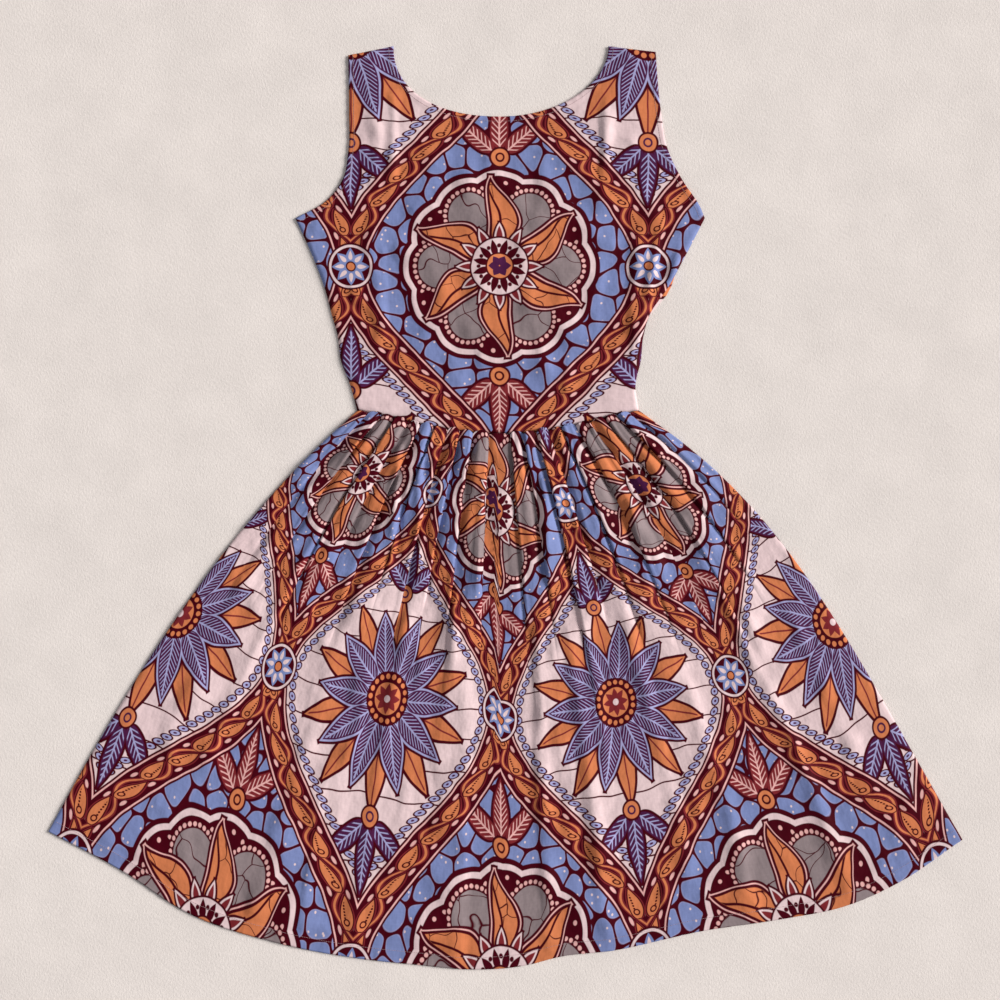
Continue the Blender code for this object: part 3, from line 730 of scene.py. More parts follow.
def stitching(name, flat, height, rows):
    """Rows of stitches on a piece of cloth. Each row runs beside an edge, moved to its
    left by an inset, or to its right by a negative one."""
    centres, lengthwise = [], []
    for edge, inset in rows:
        slope = np.gradient(edge, axis=0)
        slope /= np.hypot(*slope.T)[:, None]
        line = edge + inset * np.stack([-slope[:, 1], slope[:, 0]], axis=1)
        run = run_along(line)
        starts = np.arange(STITCH_PITCH, run[-1] - STITCH_PITCH, STITCH_PITCH)
        ends = []
        for at in (starts, starts + STITCH_LENGTH):
            spots = np.stack([np.interp(at, run, line[:, 0]), np.interp(at, run, line[:, 1])], axis=1)
            level = surface_at(flat, height, spots) + 0.5 * THREAD_RADIUS
            ends.append(np.column_stack([spots - (ORIGIN_ACROSS, ORIGIN_UP), level]))
        centres.append((ends[0] + ends[1]) / 2)
        lengthwise.append(ends[1] - ends[0])
    centres, lengthwise = np.vstack(centres), np.vstack(lengthwise)
    sideways = np.cross([0, 0, 1], lengthwise)
    sideways /= np.linalg.norm(sideways, axis=1)[:, None]
    shares = np.array([-0.5, -0.35, 0.35, 0.5])
    radii = THREAD_RADIUS * np.array([0.4, 1, 1, 0.4])
    return lofted(name, bars(centres, lengthwise, sideways, shares, radii),
                  sewing_thread())


def plain_map(flat, middle):
    """The print lies straight on the cloth: a corner's place is its own place."""
    return np.stack([(flat - middle)[corner] for corner in CORNERS], axis=2)


def folded_away(downs, widths):
    """Cloth that each valley hides at each row: what the cut has more than shows,
    shared out by the valleys' weights, which fade towards their reach."""
    cut = SKIRT_CUT_WAIST + (SKIRT_CUT_HEM - SKIRT_CUT_WAIST) * downs
    hidden = np.maximum(cut - VISIBLE_SQUEEZE * widths, 0)
    weight = GATHERS[:-1, HIDDEN] * np.clip(1.25 - downs[:, None] / GATHERS[:-1, REACH], 0.06, 1)
    return cut, hidden, hidden[:, None] * weight / weight.sum(axis=1, keepdims=True)


def notches(shares, downs, widths):
    """Fold lines along the valleys, as deep as the cloth that they hide: a bell across
    the valley, and a bell's slope where the cloth tips over it."""
    _, _, folded = folded_away(downs, widths)
    depths = np.minimum(NOTCH_SHARE * folded, NOTCH_DEPTH)
    height = np.zeros((len(downs), len(shares)))
    for valley, depth, tipped in zip(GATHERS[:-1, SHARE], depths.T, GATHERS[:-1, TIPPED]):
        away = (shares - valley) * widths[:, None] / NOTCH_HALF_WIDTH
        step = -np.sign(tipped) * bell_slope(away)
        height += depth[:, None] * (NOTCH_TIPPED * step - np.exp(-away ** 2))
    return height


def gathered_map(shares, downs, widths):
    """The print on the gathered skirt. The cut's whole width is spread over the
    shares, less the cloth that each valley hides, so motifs break off there."""
    cut, hidden, folded = folded_away(downs, widths)
    passed = np.cumsum(folded, axis=1)
    arch = arch_of((shares[:-1] + shares[1:]) / 2)
    offset = passed[:, arch] - cut[:, None] / 2
    scale = (cut - hidden)[:, None]
    left = offset + shares[:-1] * scale
    right = offset + shares[1:] * scale
    down = np.broadcast_to(SKIRT_PRINT_START - SKIRT_CUT_LENGTH * downs[:, None], left.shape)
    left, right = np.dstack([left, down]), np.dstack([right, down])
    return np.stack([left[:-1], right[:-1], right[1:], left[1:]], axis=2)


class Field:
    """A value over the cloth: one output of a node. Arithmetic on it adds Math nodes."""

    def __init__(self, tree, socket):
        self.tree, self.socket = tree, socket

    def then(self, kind, *others, **settings):
        """This value put through one more node, with others beside it."""
        return node(self.tree, kind, self, *others, **settings)

    def beside(self, output):
        """Another output of the same node."""
        return Field(self.tree, self.socket.node.outputs[output])

    def __add__(self, other):
        return self.then("Math.ADD", other)

    def __sub__(self, other):
        return self.then("Math.SUBTRACT", other)

    def __rsub__(self, other):
        return node(self.tree, "Math.SUBTRACT", other, self)

    def __mul__(self, other):
        return self.then("Math.MULTIPLY", other)

    def __truediv__(self, other):
        return self.then("Math.DIVIDE", other)

    def __abs__(self):
        return self.then("Math.ABSOLUTE")

    def __gt__(self, other):
        return self.then("Math.GREATER_THAN", other)

    __radd__, __rmul__ = __add__, __mul__


def node(tree, kind, *links, inputs=None, output=0, **settings):
    """Adds a node, with its operation after a dot. Links and inputs are fields or
    constants, by order and by name, and settings are the node's own properties."""
    name, _, operation = kind.partition(".")
    made = tree.nodes.new("ShaderNode" + name)
    if operation:
        settings["operation"] = operation
    for key, value in settings.items():
        setattr(made, key, value)
    for key, value in [*enumerate(links), *(inputs or {}).items()]:
        if isinstance(value, Field):
            tree.links.new(value.socket, made.inputs[key])
        else:
            made.inputs[key].default_value = value
    return Field(tree, made.outputs[output]) if made.outputs else None


def least(*fields):
    """The smallest of several fields: inside any of the shapes."""
    return reduce(lambda a, b: a.then("Math.MINIMUM", b), fields)


def most(*fields):
    """The largest of several fields: inside all of the shapes."""
    return reduce(lambda a, b: a.then("Math.MAXIMUM", b), fields)


def length_of(x, y):
    """Distance from where both fields are 0: the root of the sum of squares."""
    return (x * x + y * y).then("Math.SQRT")


def leaf_width(t, widest):
    """Half width of a leaf at a share of its length: as the root of t times (1 - t)."""
    return t.then("Math.SQRT") * (1 - t) * (LEAF_PEAK * widest)


def petals(radius, angle, count, start, end, width, turned=0.0):
    """A ring of pointed petals, negative inside them: how far a point is beside a
    petal's middle line, less the leaf's half width there."""
    sector = pi / count
    off = (angle + turned * sector).then("Math.PINGPONG", sector)
    lengthwise = radius * off.then("Math.COSINE")
    sideways = radius * off.then("Math.SINE")
    length = end - start
    t = lengthwise.then("Math.MULTIPLY_ADD", 1 / length, -start / length, use_clamp=True)
    shape = most(sideways - leaf_width(t, width), lengthwise - end, start - lengthwise)
    return shape, lengthwise, sideways


def beads(offset, run, pitch, size):
    """A row of round beads along a line, negative inside them."""
    return length_of(offset, run.then("Math.PINGPONG", pitch / 2)) - size


def bead_ring(offset, radius, angle, count, size):
    """A ring of round beads, negative inside them."""
    return length_of(offset, radius * angle.then("Math.PINGPONG", pi / count)) - size


class WaxPrint:
    """The print's colour over the cloth, drawn in millimetres.

    Bands of leafy vine cross the cloth as cosine waves and part it into ogee
    cells. Cells with pebbled blue ground hold a scalloped medallion with six grey
    lobes, and cells with crackled pale ground a ten-petalled flower. A shape is
    a field that is negative inside it, and in layers of dye the last is on top."""

    def __init__(self, tree, dyes):
        """Where a point lies: on the cloth, beside its nearest band, in its cell, and
        from the cell's middle. Noise moves it, because the block is cut by hand."""
        self.tree = tree
        self.ink = {name: (*getattr(dyes, name), 1) for name in INKS}
        self.half_x, self.half_y = dyes.repeat_across / MM / 2, dyes.repeat_along / MM / 2
        cloth = node(tree, "UVMap", uv_map=PRINT_MAP)
        self.noise = cloth.then("TexNoise", inputs={"Scale": 1 / (WAVER_LENGTH * MM), "Detail": 1.0},
                                output="Color", **FLAT_NOISE)
        waver = self.noise.then("VectorMath.SCALE", inputs={3: WAVER})
        self.place = cloth.then("VectorMath.MULTIPLY_ADD", (1 / MM,) * 3, waver)
        self.across = self.place.then("SeparateXYZ")
        self.down = self.across.beside(1)

        turns = self.down * (pi / self.half_y)
        half_cell = turns.then("Math.COSINE") * (self.half_x / 2) + self.half_x / 2
        steepness = turns.then("Math.SINE") * (pi * self.half_x / (2 * self.half_y))
        straight = (steepness * steepness + 1).then("Math.INVERSE_SQRT")
        column = self.across.then("Math.WRAP", self.half_x, -self.half_x)
        self.off_band = (abs(column) - half_cell) * straight
        ripple = (turns * 2).then("Math.SINE") * (BAND_RIPPLE * 2 * self.half_y)
        self.run = self.down * BAND_STRETCH - ripple
        self.pale_cell = self.off_band > 0

        half_x, half_y = self.half_x, self.half_y
        self.cell_x = (self.across + self.pale_cell * half_x).then("Math.WRAP", half_x, -half_x)
        self.cell_y = (self.down + self.pale_cell * half_y).then("Math.WRAP", half_y, -half_y)
        grown = DRAWN_WIDTH / (2 * half_x)
        self.x, self.y = self.cell_x * grown, self.cell_y * grown
        self.radius = length_of(self.x, self.y)
        self.angle = self.y.then("Math.ARCTAN2", self.x)

    def printed(self, under, *layers):
        """Layers of dye over what is under them, each where its shape is negative."""
        for shape, dye in layers:
            mask = shape.then("Math.MULTIPLY_ADD", -1 / DYE_BLEED, 0.5, use_clamp=True)
            under = node(self.tree, "Mix", inputs={0: mask, 6: under, 7: self.ink[dye]}, **COLOUR_MIX)
        return under

    def pebbles(self):
        """Rounded stones with a lilac rim, and sparks of undyed cotton. The gap between
        stones is where a smoothed distance to their centres parts from the plain one."""
        stones = {"Scale": 1 / PEBBLE_SIZE, "Randomness": 0.75}
        sharp = self.place.then("TexVoronoi", inputs=stones, **FLAT_CELLS)
        smooth = self.place.then("TexVoronoi", inputs={**stones, "Smoothness": 0.8},
                                 feature="SMOOTH_F1", **FLAT_CELLS)
        gap = (sharp - smooth) * PEBBLE_SIZE
        spark = self.place.then("TexVoronoi", inputs={"Scale": 1 / SPARK_SPACING, "Randomness": 1.0},
                                **FLAT_CELLS) * SPARK_SPACING
        return self.printed(
            self.ink["blue"],
            (most(1.15 - gap, gap - 1.8), "lilac"),
            (1.45 - gap, "line"),
            (most(spark - 1.1, gap - 0.9), "ground"))

    def crackle(self):
        """Pale ground with cracks that waver as two sines, and a string of pearls that
        runs beside the bands."""
        wavering = self.down
        for wave, height in CRACKLE_WAVES:
            wavering = wavering + (self.across / wave).then("Math.SINE") * height
        off_string = self.off_band - STRING_OFF_BAND
        pearl = beads(off_string, self.run, pitch=10.5, size=3.6)
        return self.printed(
            self.ink["ground"],
            (wavering.then("Math.PINGPONG", CRACKLE_PITCH / 2) - 0.75, "line"),
            (least(pearl - 1.5, abs(off_string) - 0.9), "line"),
            (pearl, "lilac"),
            (pearl + 2.2, "purple"))

    def flower(self):
        """Orange sepals, ribbed purple petals over them, and a beaded heart."""
        radius, angle = self.radius, self.angle
        sepal, _, sepal_side = petals(radius, angle, count=10, start=38, end=88, width=9.0, turned=1)
        petal, petal_along, petal_side = petals(radius, angle, count=10, start=19, end=76, width=12.0)
        ribs = (petal_along - petal_side * 1.3).then("Math.PINGPONG", 2.1) - 0.6
        star, _, _ = petals(radius, angle, count=8, start=1.5, end=13, width=3.4)
        return self.printed(
            self.crackle(),
            (sepal - 2.6, "line"),
            (sepal, "orange"),
            (most(sepal + 1.4, sepal_side - 0.7), "brick"),
            (petal - 2.2, "line"),
            (petal, "lilac"),
            (petal + 1.7, "purple"),
            (most(petal + 3.0, least(ribs, petal_side - 0.8)), "lilac"),
            (radius - 22.5, "line"),
            (bead_ring(radius - 18.5, radius, angle, count=18, size=2.2), "orange"),
            (radius - 13.5, "orange"),
            (star, "brick"),
            (radius - 3.2, "ground"))

    def cracks(self):
        """Distance to the nearest crack: the edges between random cells, bent by noise."""
        bend = self.noise.then("VectorMath.SCALE", inputs={3: CRACK_BEND})
        bent = self.place.then("VectorMath.ADD", bend)
        return bent.then("TexVoronoi", inputs={"Scale": 1 / CRACK_SIZE, "Randomness": 1.0},
                         feature="DISTANCE_TO_EDGE", **FLAT_CELLS) * CRACK_SIZE

    def lobes(self):
        """Round lobes in a ring, and the pearls that edge each."""
        turn = self.angle.then("Math.PINGPONG", pi / LOBES)
        x = self.radius * turn.then("Math.COSINE") - LOBE_OFF_MIDDLE
        y = self.radius * turn.then("Math.SINE")
        lobe = length_of(x * LOBE_ROUNDNESS, y) - LOBE_RADIUS
        edge_run = y.then("Math.ARCTAN2", x) * (LOBE_RADIUS + 2.5)
        return lobe, beads(lobe - 2.7, edge_run, pitch=4.3, size=1.55)

    def swirls(self):
        """Swirled leaves between the lobes, how far a point is off their middle line, and
        a drop beside each tip. The middle line is a sine over three quarters of a turn."""
        sector = pi / LOBES
        turn = (self.angle + sector).then("Math.WRAP", sector, -sector)
        lengthwise = self.radius * turn.then("Math.COSINE")
        sideways = self.radius * turn.then("Math.SINE")
        length = SWIRL_END - SWIRL_START
        t = lengthwise.then("Math.MULTIPLY_ADD", 1 / length, -SWIRL_START / length, use_clamp=True)
        off = sideways + (t * (1.5 * pi)).then("Math.SINE") * SWIRL_SWAY - 1.5
        half_width = leaf_width(t, SWIRL_HALF_WIDTH)
        leaf = most(abs(off) - half_width, SWIRL_START - lengthwise, lengthwise - SWIRL_END)
        drop_x = lengthwise - DROP_OFF_MIDDLE
        drop = length_of(drop_x * 0.6, sideways + drop_x * 0.25 - DROP_ASIDE) - DROP_RADIUS
        return leaf, off, drop

    def medallion(self):
        """A scalloped disc with lobes, swirled leaves and a ring of lace on the pebbles.
        The scallops are the absolute value of a cosine round the disc."""
        radius, angle, cracks = self.radius, self.angle, self.cracks()
        scallop = radius - abs((angle * LOBES).then("Math.COSINE")) * SCALLOP_DEPTH
        lobe, pearls = self.lobes()
        leaf, off_leaf, drop = self.swirls()
        vein = off_leaf - 3.4
        lace, _, _ = petals(radius, angle, count=12, start=19, end=36, width=4.0)
        rays, _, _ = petals(radius, angle, count=12, start=10, end=23, width=3.0, turned=1)
        star, _, _ = petals(radius, angle, count=6, start=0.5, end=9.5, width=3.8)
        return self.printed(
            self.pebbles(),
            (scallop - 80, "line"),
            (scallop - 76, "ground"),
            (scallop - 71.5, "line"),
            (bead_ring(scallop - 66, radius, angle, count=42, size=1.7), "pink"),
            (most(drop, scallop - 70), "ground"),
            (drop + 1.3, "line"),
            (drop + 2.1, "blue"),
            (lobe - 5.4, "line"),
            (most(pearls, scallop - 71), "pink"),
            (lobe, "grey"),
            (most(lobe, cracks - 0.55), "line"),
            (leaf - 3.4, "line"),
            (leaf - 1.4, "pink"),
            (leaf - 0.3, "line"),
            (leaf + 2.0, "orange"),
            (most(leaf + 2.0, least(abs(vein) - 1.0, most(cracks - 0.5, vein))), "line"),
            (lace - 1.8, "line"),
            (lace, "ground"),
            (most(lace + 1.5, 24 - radius), "brick"),
            (radius - 25, "line"),
            (radius - 23.5, "ground"),
            (rays, "line"),
            (bead_ring(radius - 17.5, radius, angle, count=12, size=1.7), "line"),
            (radius - 12, "line"),
            (radius - 10.5, "orange"),
            (star, "purple"))

    def cells(self):
        """What fills the cells, with a spray of veined leaves towards both tips of each."""
        toward_tip = abs(self.y) - SPRAY_OFF_MIDDLE
        reach = length_of(self.x, toward_tip)
        turn = abs(self.x).then("Math.ARCTAN2", toward_tip)
        nearest = least(turn, abs(turn - SPRAY_SPREAD))
        leaf, leaf_along, leaf_side = petals(reach, nearest, count=2, start=7, end=54, width=7.4)
        veins = least((leaf_along - leaf_side * 1.1).then("Math.PINGPONG", 2.4) - 0.7, leaf_side - 0.7)
        blue_side, pale_side = (
            self.printed(
                under,
                (leaf - 2.2, "line"),
                (leaf, fill),
                (most(leaf + 1.3, veins), vein),
                (reach - 9.0, "line"),
                (reach - 7.2, "orange"),
                (abs(reach - 3.2) - 0.8, ring))
            for under, fill, vein, ring in (
                (self.medallion(), "brick", "pink", "line"),
                (self.flower(), "purple", "lilac", "purple")))
        both_sides = {0: self.pale_cell, 6: blue_side, 7: pale_side}
        return node(self.tree, "Mix", inputs=both_sides, **COLOUR_MIX)

    def bands(self, under):
        """Two edge lines, and between them a vine that winds as a sine, with a scrolled
        leaf in each bend."""
        pitch = BAND_STRETCH * 2 * self.half_y / VINE_WAVES
        quarter = pitch / 4
        strip = abs(self.off_band)
        wave = (self.run * (2 * pi / pitch)).then("Math.SINE")
        stem = abs(self.off_band - wave * VINE_SWAY)
        x = (self.run - quarter).then("Math.WRAP", quarter, -quarter)
        y = self.off_band * wave.then("Math.SIGN") + 2.4 + x * 0.14
        t = x.then("Math.MULTIPLY_ADD", 0.5 / VINE_LEAF_REACH, 0.5, use_clamp=True)
        leaf = most(abs(y) - leaf_width(t, VINE_LEAF_HALF_WIDTH), abs(x) - VINE_LEAF_REACH)
        curl = abs(length_of(x + 9.5, y - 0.6) - 2.6) - 0.7
        spine = most(beads(y - 2.0, x, pitch=2.9, size=1.0), -7.0 - x)
        bend_x = self.run.then("Math.WRAP", quarter, -quarter)
        return self.printed(
            under,
            (strip - BAND_HALF_WIDTH, "line"),
            (least(leaf, stem - 1.3) - 1.4, "brick"),
            (stem - 1.1, "orange"),
            (leaf - 0.3, "line"),
            (leaf + 0.9, "orange"),
            (most(least(curl, spine), leaf + 1.8), "line"),
            (length_of(bend_x * 0.42, strip - 8.4) - 1.7, "pink"),
            (most(strip - BAND_HALF_WIDTH, 12.4 - strip), "line"),
            (abs(strip - 14.6) - 0.85, "pink"))

    def jewels(self, under):
        """A small starred disc where bands meet."""
        half_x, half_y = self.half_x, self.half_y
        beside = abs(self.cell_x) > half_x / 2
        x = (self.cell_x + beside * half_x).then("Math.WRAP", half_x, -half_x)
        y = (self.cell_y + (1 - beside) * half_y).then("Math.WRAP", half_y, -half_y)
        radius, angle = length_of(x, y), y.then("Math.ARCTAN2", x)
        outer, _, _ = petals(radius, angle, count=8, start=4, end=20, width=5.2)
        inner, _, _ = petals(radius, angle, count=8, start=7, end=17, width=2.2)
        return self.printed(
            under,
            (radius - 25, "line"),
            (radius - 23, "ground"),
            (radius - 20.5, "line"),
            (outer, "blue"),
            (inner, "ground"),
            (radius - 5.5, "line"),
            (radius - 4, "orange"))


def new_material(name):
    """An empty material, and the call that adds nodes to it."""
    made = bpy.data.materials.get(name) or bpy.data.materials.new(name)
    made.use_nodes = True
    made.node_tree.nodes.clear()
    return made, partial(node, made.node_tree)


def printed_wax_cotton():
    """Plain-woven cotton printed with wax-resist dyes, washed and roughly pressed.
    Crisp flat colour, hardly any gloss, and a faint fuzz where light grazes it.

    Threads are 0.3 mm apart, too fine to show, so slubs of 1.5 by 12 mm stand for them."""
    made, add = new_material("printed_wax_cotton")
    design = WaxPrint(made.node_tree, bpy.context.scene.dress_print)
    colour = design.jewels(design.bands(design.cells()))

    cloth = add("UVMap", uv_map=PRINT_MAP)
    slub_width, slub_length = 1.5 * MM, 12 * MM
    warp, weft = (
        cloth.then("Mapping", inputs={"Scale": (1 / across, 1 / down, 1)}).then(
            "TexNoise", inputs={"Scale": 1.0, "Detail": 1.0}, **FLAT_NOISE)
        for across, down in ((slub_width, slub_length), (slub_length, slub_width)))
    slubs = warp + weft
    # Soft lighter and darker patches about 30 mm across, multiplied into the colour: partly uneven dye,
    # partly painted shade
    dye_and_shade_blotch = cloth.then("TexNoise", inputs={"Scale": 1 / (30 * MM), "Detail": 4.0, "Roughness": 0.6},
                        **FLAT_NOISE)
    rumple = cloth.then("TexNoise", inputs={"Scale": 1 / (14 * MM), "Detail": 2.0}, **FLAT_NOISE)
    shade = slubs * 0.10 + dye_and_shade_blotch * 0.30 + 0.74
    add("BsdfPrincipled", inputs={
        "Base Color": add("Mix", inputs={0: 1.0, 6: colour, 7: shade}, **MULTIPLIED),
        "Roughness": bpy.context.scene.dress_cloth.roughness,
        "IOR": 1.5,
        "Specular IOR Level": 0.05,
        "Sheen Weight": 0.01,
        "Sheen Roughness": 0.5,
        "Normal": add("Bump", inputs={
            "Strength": 0.9, "Distance": 1.0 * MM, "Height": rumple + slubs * 0.03}),
    }).then("OutputMaterial")
    return made


def sewing_thread():
    """Spun polyester thread: matt, in two plies, whose twist shows as slanting bands."""
    made, add = new_material("spun_polyester_thread")
    plies = add("TexCoord", output="Object").then(
        "TexWave", inputs={"Scale": 1 / (2.2 * MM), "Distortion": 1.0}, bands_direction="DIAGONAL")
    dye, shade = (*linear("#B4959B"), 1), plies * 0.25 + 0.75
    add("BsdfPrincipled", inputs={
        "Base Color": add("Mix", inputs={0: 1.0, 6: dye, 7: shade}, **MULTIPLIED),
        "Roughness": 0.7,
        "Sheen Weight": 0.15,
        "Normal": add("Bump", inputs={"Strength": 0.5, "Distance": 0.05 * MM, "Height": plies}),
    }).then("OutputMaterial")
    return made


def zip_tape():
    """Woven polyester tape: matt, with fine herringbone ribs along its length."""
    made, add = new_material("woven_polyester_tape")
    place = add("TexCoord", output="Object")
    across = place.then("SeparateXYZ")
    slant = across.beside(1) + abs(across) * 0.7
    ribs = (slant * (2 * pi / (0.9 * MM))).then("Math.SINE")
    lie = place.then("TexNoise", inputs={"Scale": 1 / (4 * MM), "Detail": 2.0})
    dye, shade = (*linear("#DCC4CA"), 1), ribs * 0.06 + lie * 0.15 + 0.82
    add("BsdfPrincipled", inputs={
        "Base Color": add("Mix", inputs={0: 1.0, 6: dye, 7: shade}, **MULTIPLIED),
        "Roughness": 0.75,
        "Sheen Weight": 0.1,
        "Normal": add("Bump", inputs={"Strength": 0.5, "Distance": 0.06 * MM, "Height": ribs}),
    }).then("OutputMaterial")
    return made


def zip_coil():
    """Nylon monofilament: smooth and faintly cloudy, so it has soft highlights."""
    made, add = new_material("nylon_coil")
    cloud = add("TexCoord", output="Object").then(
        "TexNoise", inputs={"Scale": 1 / (3 * MM), "Detail": 2.0})
    dark, light = ((*linear(dye), 1) for dye in ("#D9BFC6", "#E6D2D6"))
    add("BsdfPrincipled", inputs={
        "Base Color": add("Mix", inputs={0: cloud, 6: dark, 7: light}, **COLOUR_MIX),
        "Roughness": cloud * 0.15 + 0.28,
        "IOR": 1.53,
        "Subsurface Weight": 0.1,
        "Subsurface Scale": 0.3 * MM,
    }).then("OutputMaterial")
    return made


def zip_enamel():
    """Enamelled zinc: a glossy paint coat, a little dulled where fingers rub it."""
    made, add = new_material("enamelled_zinc")
    rub = add("TexCoord", output="Object").then(
        "TexNoise", inputs={"Scale": 1 / (2 * MM), "Detail": 3.0})
    dark, light = ((*linear(paint), 1) for paint in ("#CDB3B9", "#DBC6CA"))
    add("BsdfPrincipled", inputs={
        "Base Color": add("Mix", inputs={0: rub, 6: dark, 7: light}, **COLOUR_MIX),
        "Roughness": rub * 0.25 + 0.22,
        "IOR": 1.5,
        "Coat Weight": 0.4,
        "Coat Roughness": 0.2,
    }).then("OutputMaterial")
    return made


def brushed_fleece():
    """Polyester fleece, brushed and matt: a plain pale surface with a shallow uneven nap."""
    made, add = new_material("brushed_fleece")
    place = add("TexCoord", output="Object")
    nap_size = (1 / (2 * MM), 1 / (3 * MM), 1)
    nap = place.then("Mapping", inputs={"Rotation": (0, 0, radians(20)), "Scale": nap_size}).then(
        "TexNoise", inputs={"Scale": 1.0, "Detail": 4.0, "Roughness": 0.7, "Distortion": 0.4})
    lie = place.then("TexNoise", inputs={"Scale": 1 / (60 * MM), "Detail": 5.0, "Roughness": 0.6})
    dye, shade = (*bpy.context.scene.dress_stage.floor, 1), nap * 0.30 + lie * 0.24 + 0.74
    add("BsdfPrincipled", inputs={
        "Base Color": add("Mix", inputs={0: 1.0, 6: dye, 7: shade}, **MULTIPLIED),
        "Roughness": 0.9,
        "Sheen Weight": 0.2,
        "Normal": add("Bump", inputs={"Strength": 0.55, "Distance": 0.8 * MM, "Height": nap}),
    }).then("OutputMaterial")
    return made


def declare(piece, replaced):
    """The piece rides on the dress's one body and stands for these nodes."""
    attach(piece, "root")
    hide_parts(*replaced)


def front_height(flat, air, open_edges, sewn_edges, turning):
    """Height of a front piece: its resting level and the air under it, rolled down
    to the back at its sewn edges, with a turned rim and tucks at its open ones."""
    cloth = bpy.context.scene.dress_cloth
    floor_of_front = BACK_TOP + cloth.thickness + EDGE_LIFT
    lift = FRONT_REST - floor_of_front + np.maximum(air, 0)
    for line, radius in sewn_edges:
        away, _ = nearest_on(flat, line)
        lift = lift * rolled(away, radius)
    for line in open_edges:
        away, run = nearest_on(flat, line)
        lift = lift * (OPEN_EDGE_AIR + (1 - OPEN_EDGE_AIR) * smoothstep(away / OPEN_EDGE_FADE))
        lift = lift + TURNING_RISE * (1 - smoothstep((away - turning) / TURNING_STEP))
        lift = lift + pucker(away, run, cloth.pucker / 2, EDGE_TUCK_PITCH)
    return floor_of_front + np.maximum(lift, 0)


class DRESS_OT_front_skirt(bpy.types.Operator):
    """Make the gathered front skirt"""
    bl_idname = "dress.front_skirt"
    bl_label = "Front skirt"

    def execute(self, context):
        cloth = context.scene.dress_cloth
        starts, ends = GATHERS[:-1, SHARE], GATHERS[1:, SHARE]
        steps = (1 - np.cos(np.pi * np.arange(ARCH_COLUMNS) / ARCH_COLUMNS)) / 2
        shares = np.append((starts[:, None] + (ends - starts)[:, None] * steps).ravel(), 1.0)
        downs = np.concatenate([
            np.linspace(0, WAIST_PART, WAIST_ROWS + 1),
            np.linspace(WAIST_PART, 1 - HEM_PART, SKIRT_ROWS + 1)[1:],
            np.linspace(1 - HEM_PART, 1, HEM_ROWS + 1)[1:],
        ])
        flat = skirt_threads(shares, downs)
        waist, hem = flat[0], flat[-1]
        widths = np.hypot(*np.diff(flat, axis=1).transpose(2, 0, 1)).sum(axis=1)
        air, tipped, puff = gathers(shares, downs)
        loft = smoothstep(downs / LOFT_RISE) * (1 - smoothstep(downs / LOFT_FADE))
        air = air + SKIRT_LOFT * loft[:, None]
        air = air + notches(shares, downs, widths)
        air = air + creases(flat, SKIRT_CREASES) + crumple(flat, cloth.crumple, SKIRT_SEED)
        air = air + fine_folds(shares, downs, cloth.fine_fold, SKIRT_FOLDS_SEED)
        from_waist, along_waist = nearest_on(flat, waist)
        air = air + np.abs(pucker(from_waist, along_waist, 3 * cloth.pucker, WAIST_TUCK_PITCH))
        seams = [(flat[:, 0], SEAM_ROLL), (flat[:, -1], SEAM_ROLL), (waist, WAIST_ROLL)]
        height = front_height(flat, air, [hem], seams, HEM_TURNING)
        flat = flat + np.dstack([tipped, puff])
        cells = np.ones((len(downs) - 1, len(shares) - 1), dtype=bool)
        print_map = gathered_map(shares, downs, widths)
        piece = cloth_mesh("front_skirt_cloth", flat, height, cells, print_map)
        declare(piece, ["front_skirt"])
        hem_row = stitching("hem_stitching", flat, height, [(hem, HEM_STITCH_INSET)])
        return {"FINISHED"}


class DRESS_OT_front_bodice(bpy.types.Operator):
    """Make the front bodice"""
    bl_idname = "dress.front_bodice"
    bl_label = "Front bodice"

    def execute(self, context):
        cloth = context.scene.dress_cloth
        right = bodice_half(RIGHT, 0.0, NECK_DEPTH)
        left = bodice_half(LEFT, 0.0, NECK_DEPTH)
        flat = np.concatenate([right, left[:, -2::-1]], axis=1)
        rows, columns = flat.shape[0] - 1, flat.shape[1] - 1
        cells = bodice_cells(columns, 2)
        body = SIDE_ROWS + ARMHOLE_ROWS
        share_up = np.minimum(np.arange(rows + 1) / body, 1)[:, None]
        share_in = np.linspace(0, 1, columns + 1)[None, :]
        bust = np.sin(np.pi * share_in) ** BUST_ACROSS_POWER * np.sin(np.pi * share_up) ** BUST_UP_POWER
        air = BUST_LOFT * bust + creases(flat, BODICE_CREASES)
        air = air + crumple(flat, cloth.crumple, BODICE_SEED)
        neck = np.vstack([
            flat[:body:-1, STRAP_COLUMNS],
            flat[body, STRAP_COLUMNS:columns - STRAP_COLUMNS + 1],
            flat[body + 1:, columns - STRAP_COLUMNS],
        ])
        right_armhole, left_armhole = flat[SIDE_ROWS:, 0], flat[SIDE_ROWS:, -1]
        seams = [
            (flat[:SIDE_ROWS + 1, 0], SEAM_ROLL),
            (flat[:SIDE_ROWS + 1, -1], SEAM_ROLL),
            (flat[0], WAIST_ROLL),
            (flat[-1, :STRAP_COLUMNS + 1], WAIST_ROLL),
            (flat[-1, columns - STRAP_COLUMNS:], WAIST_ROLL),
        ]
        height = front_height(flat, air, [neck, right_armhole, left_armhole], seams, TURNING)
        print_map = plain_map(flat, (0.0, BODICE_PRINT_UP))
        piece = cloth_mesh("front_bodice_cloth", flat, height, cells, print_map)
        declare(piece, ["front_bodice"])
        parts = (np.s_[:body + 1], np.s_[body:, :STRAP_COLUMNS + 1], np.s_[body:, columns - STRAP_COLUMNS:])
        on_cloth = np.vstack([flat[part].reshape(-1, 2) for part in parts])
        levels = np.concatenate([height[part].ravel() for part in parts])
        edge_rows = stitching("neck_and_armhole_stitching", on_cloth, levels, [
            (neck, -NECK_STITCH_INSET),
            (right_armhole, -NECK_STITCH_INSET),
            (left_armhole, NECK_STITCH_INSET),
        ])
        return {"FINISHED"}


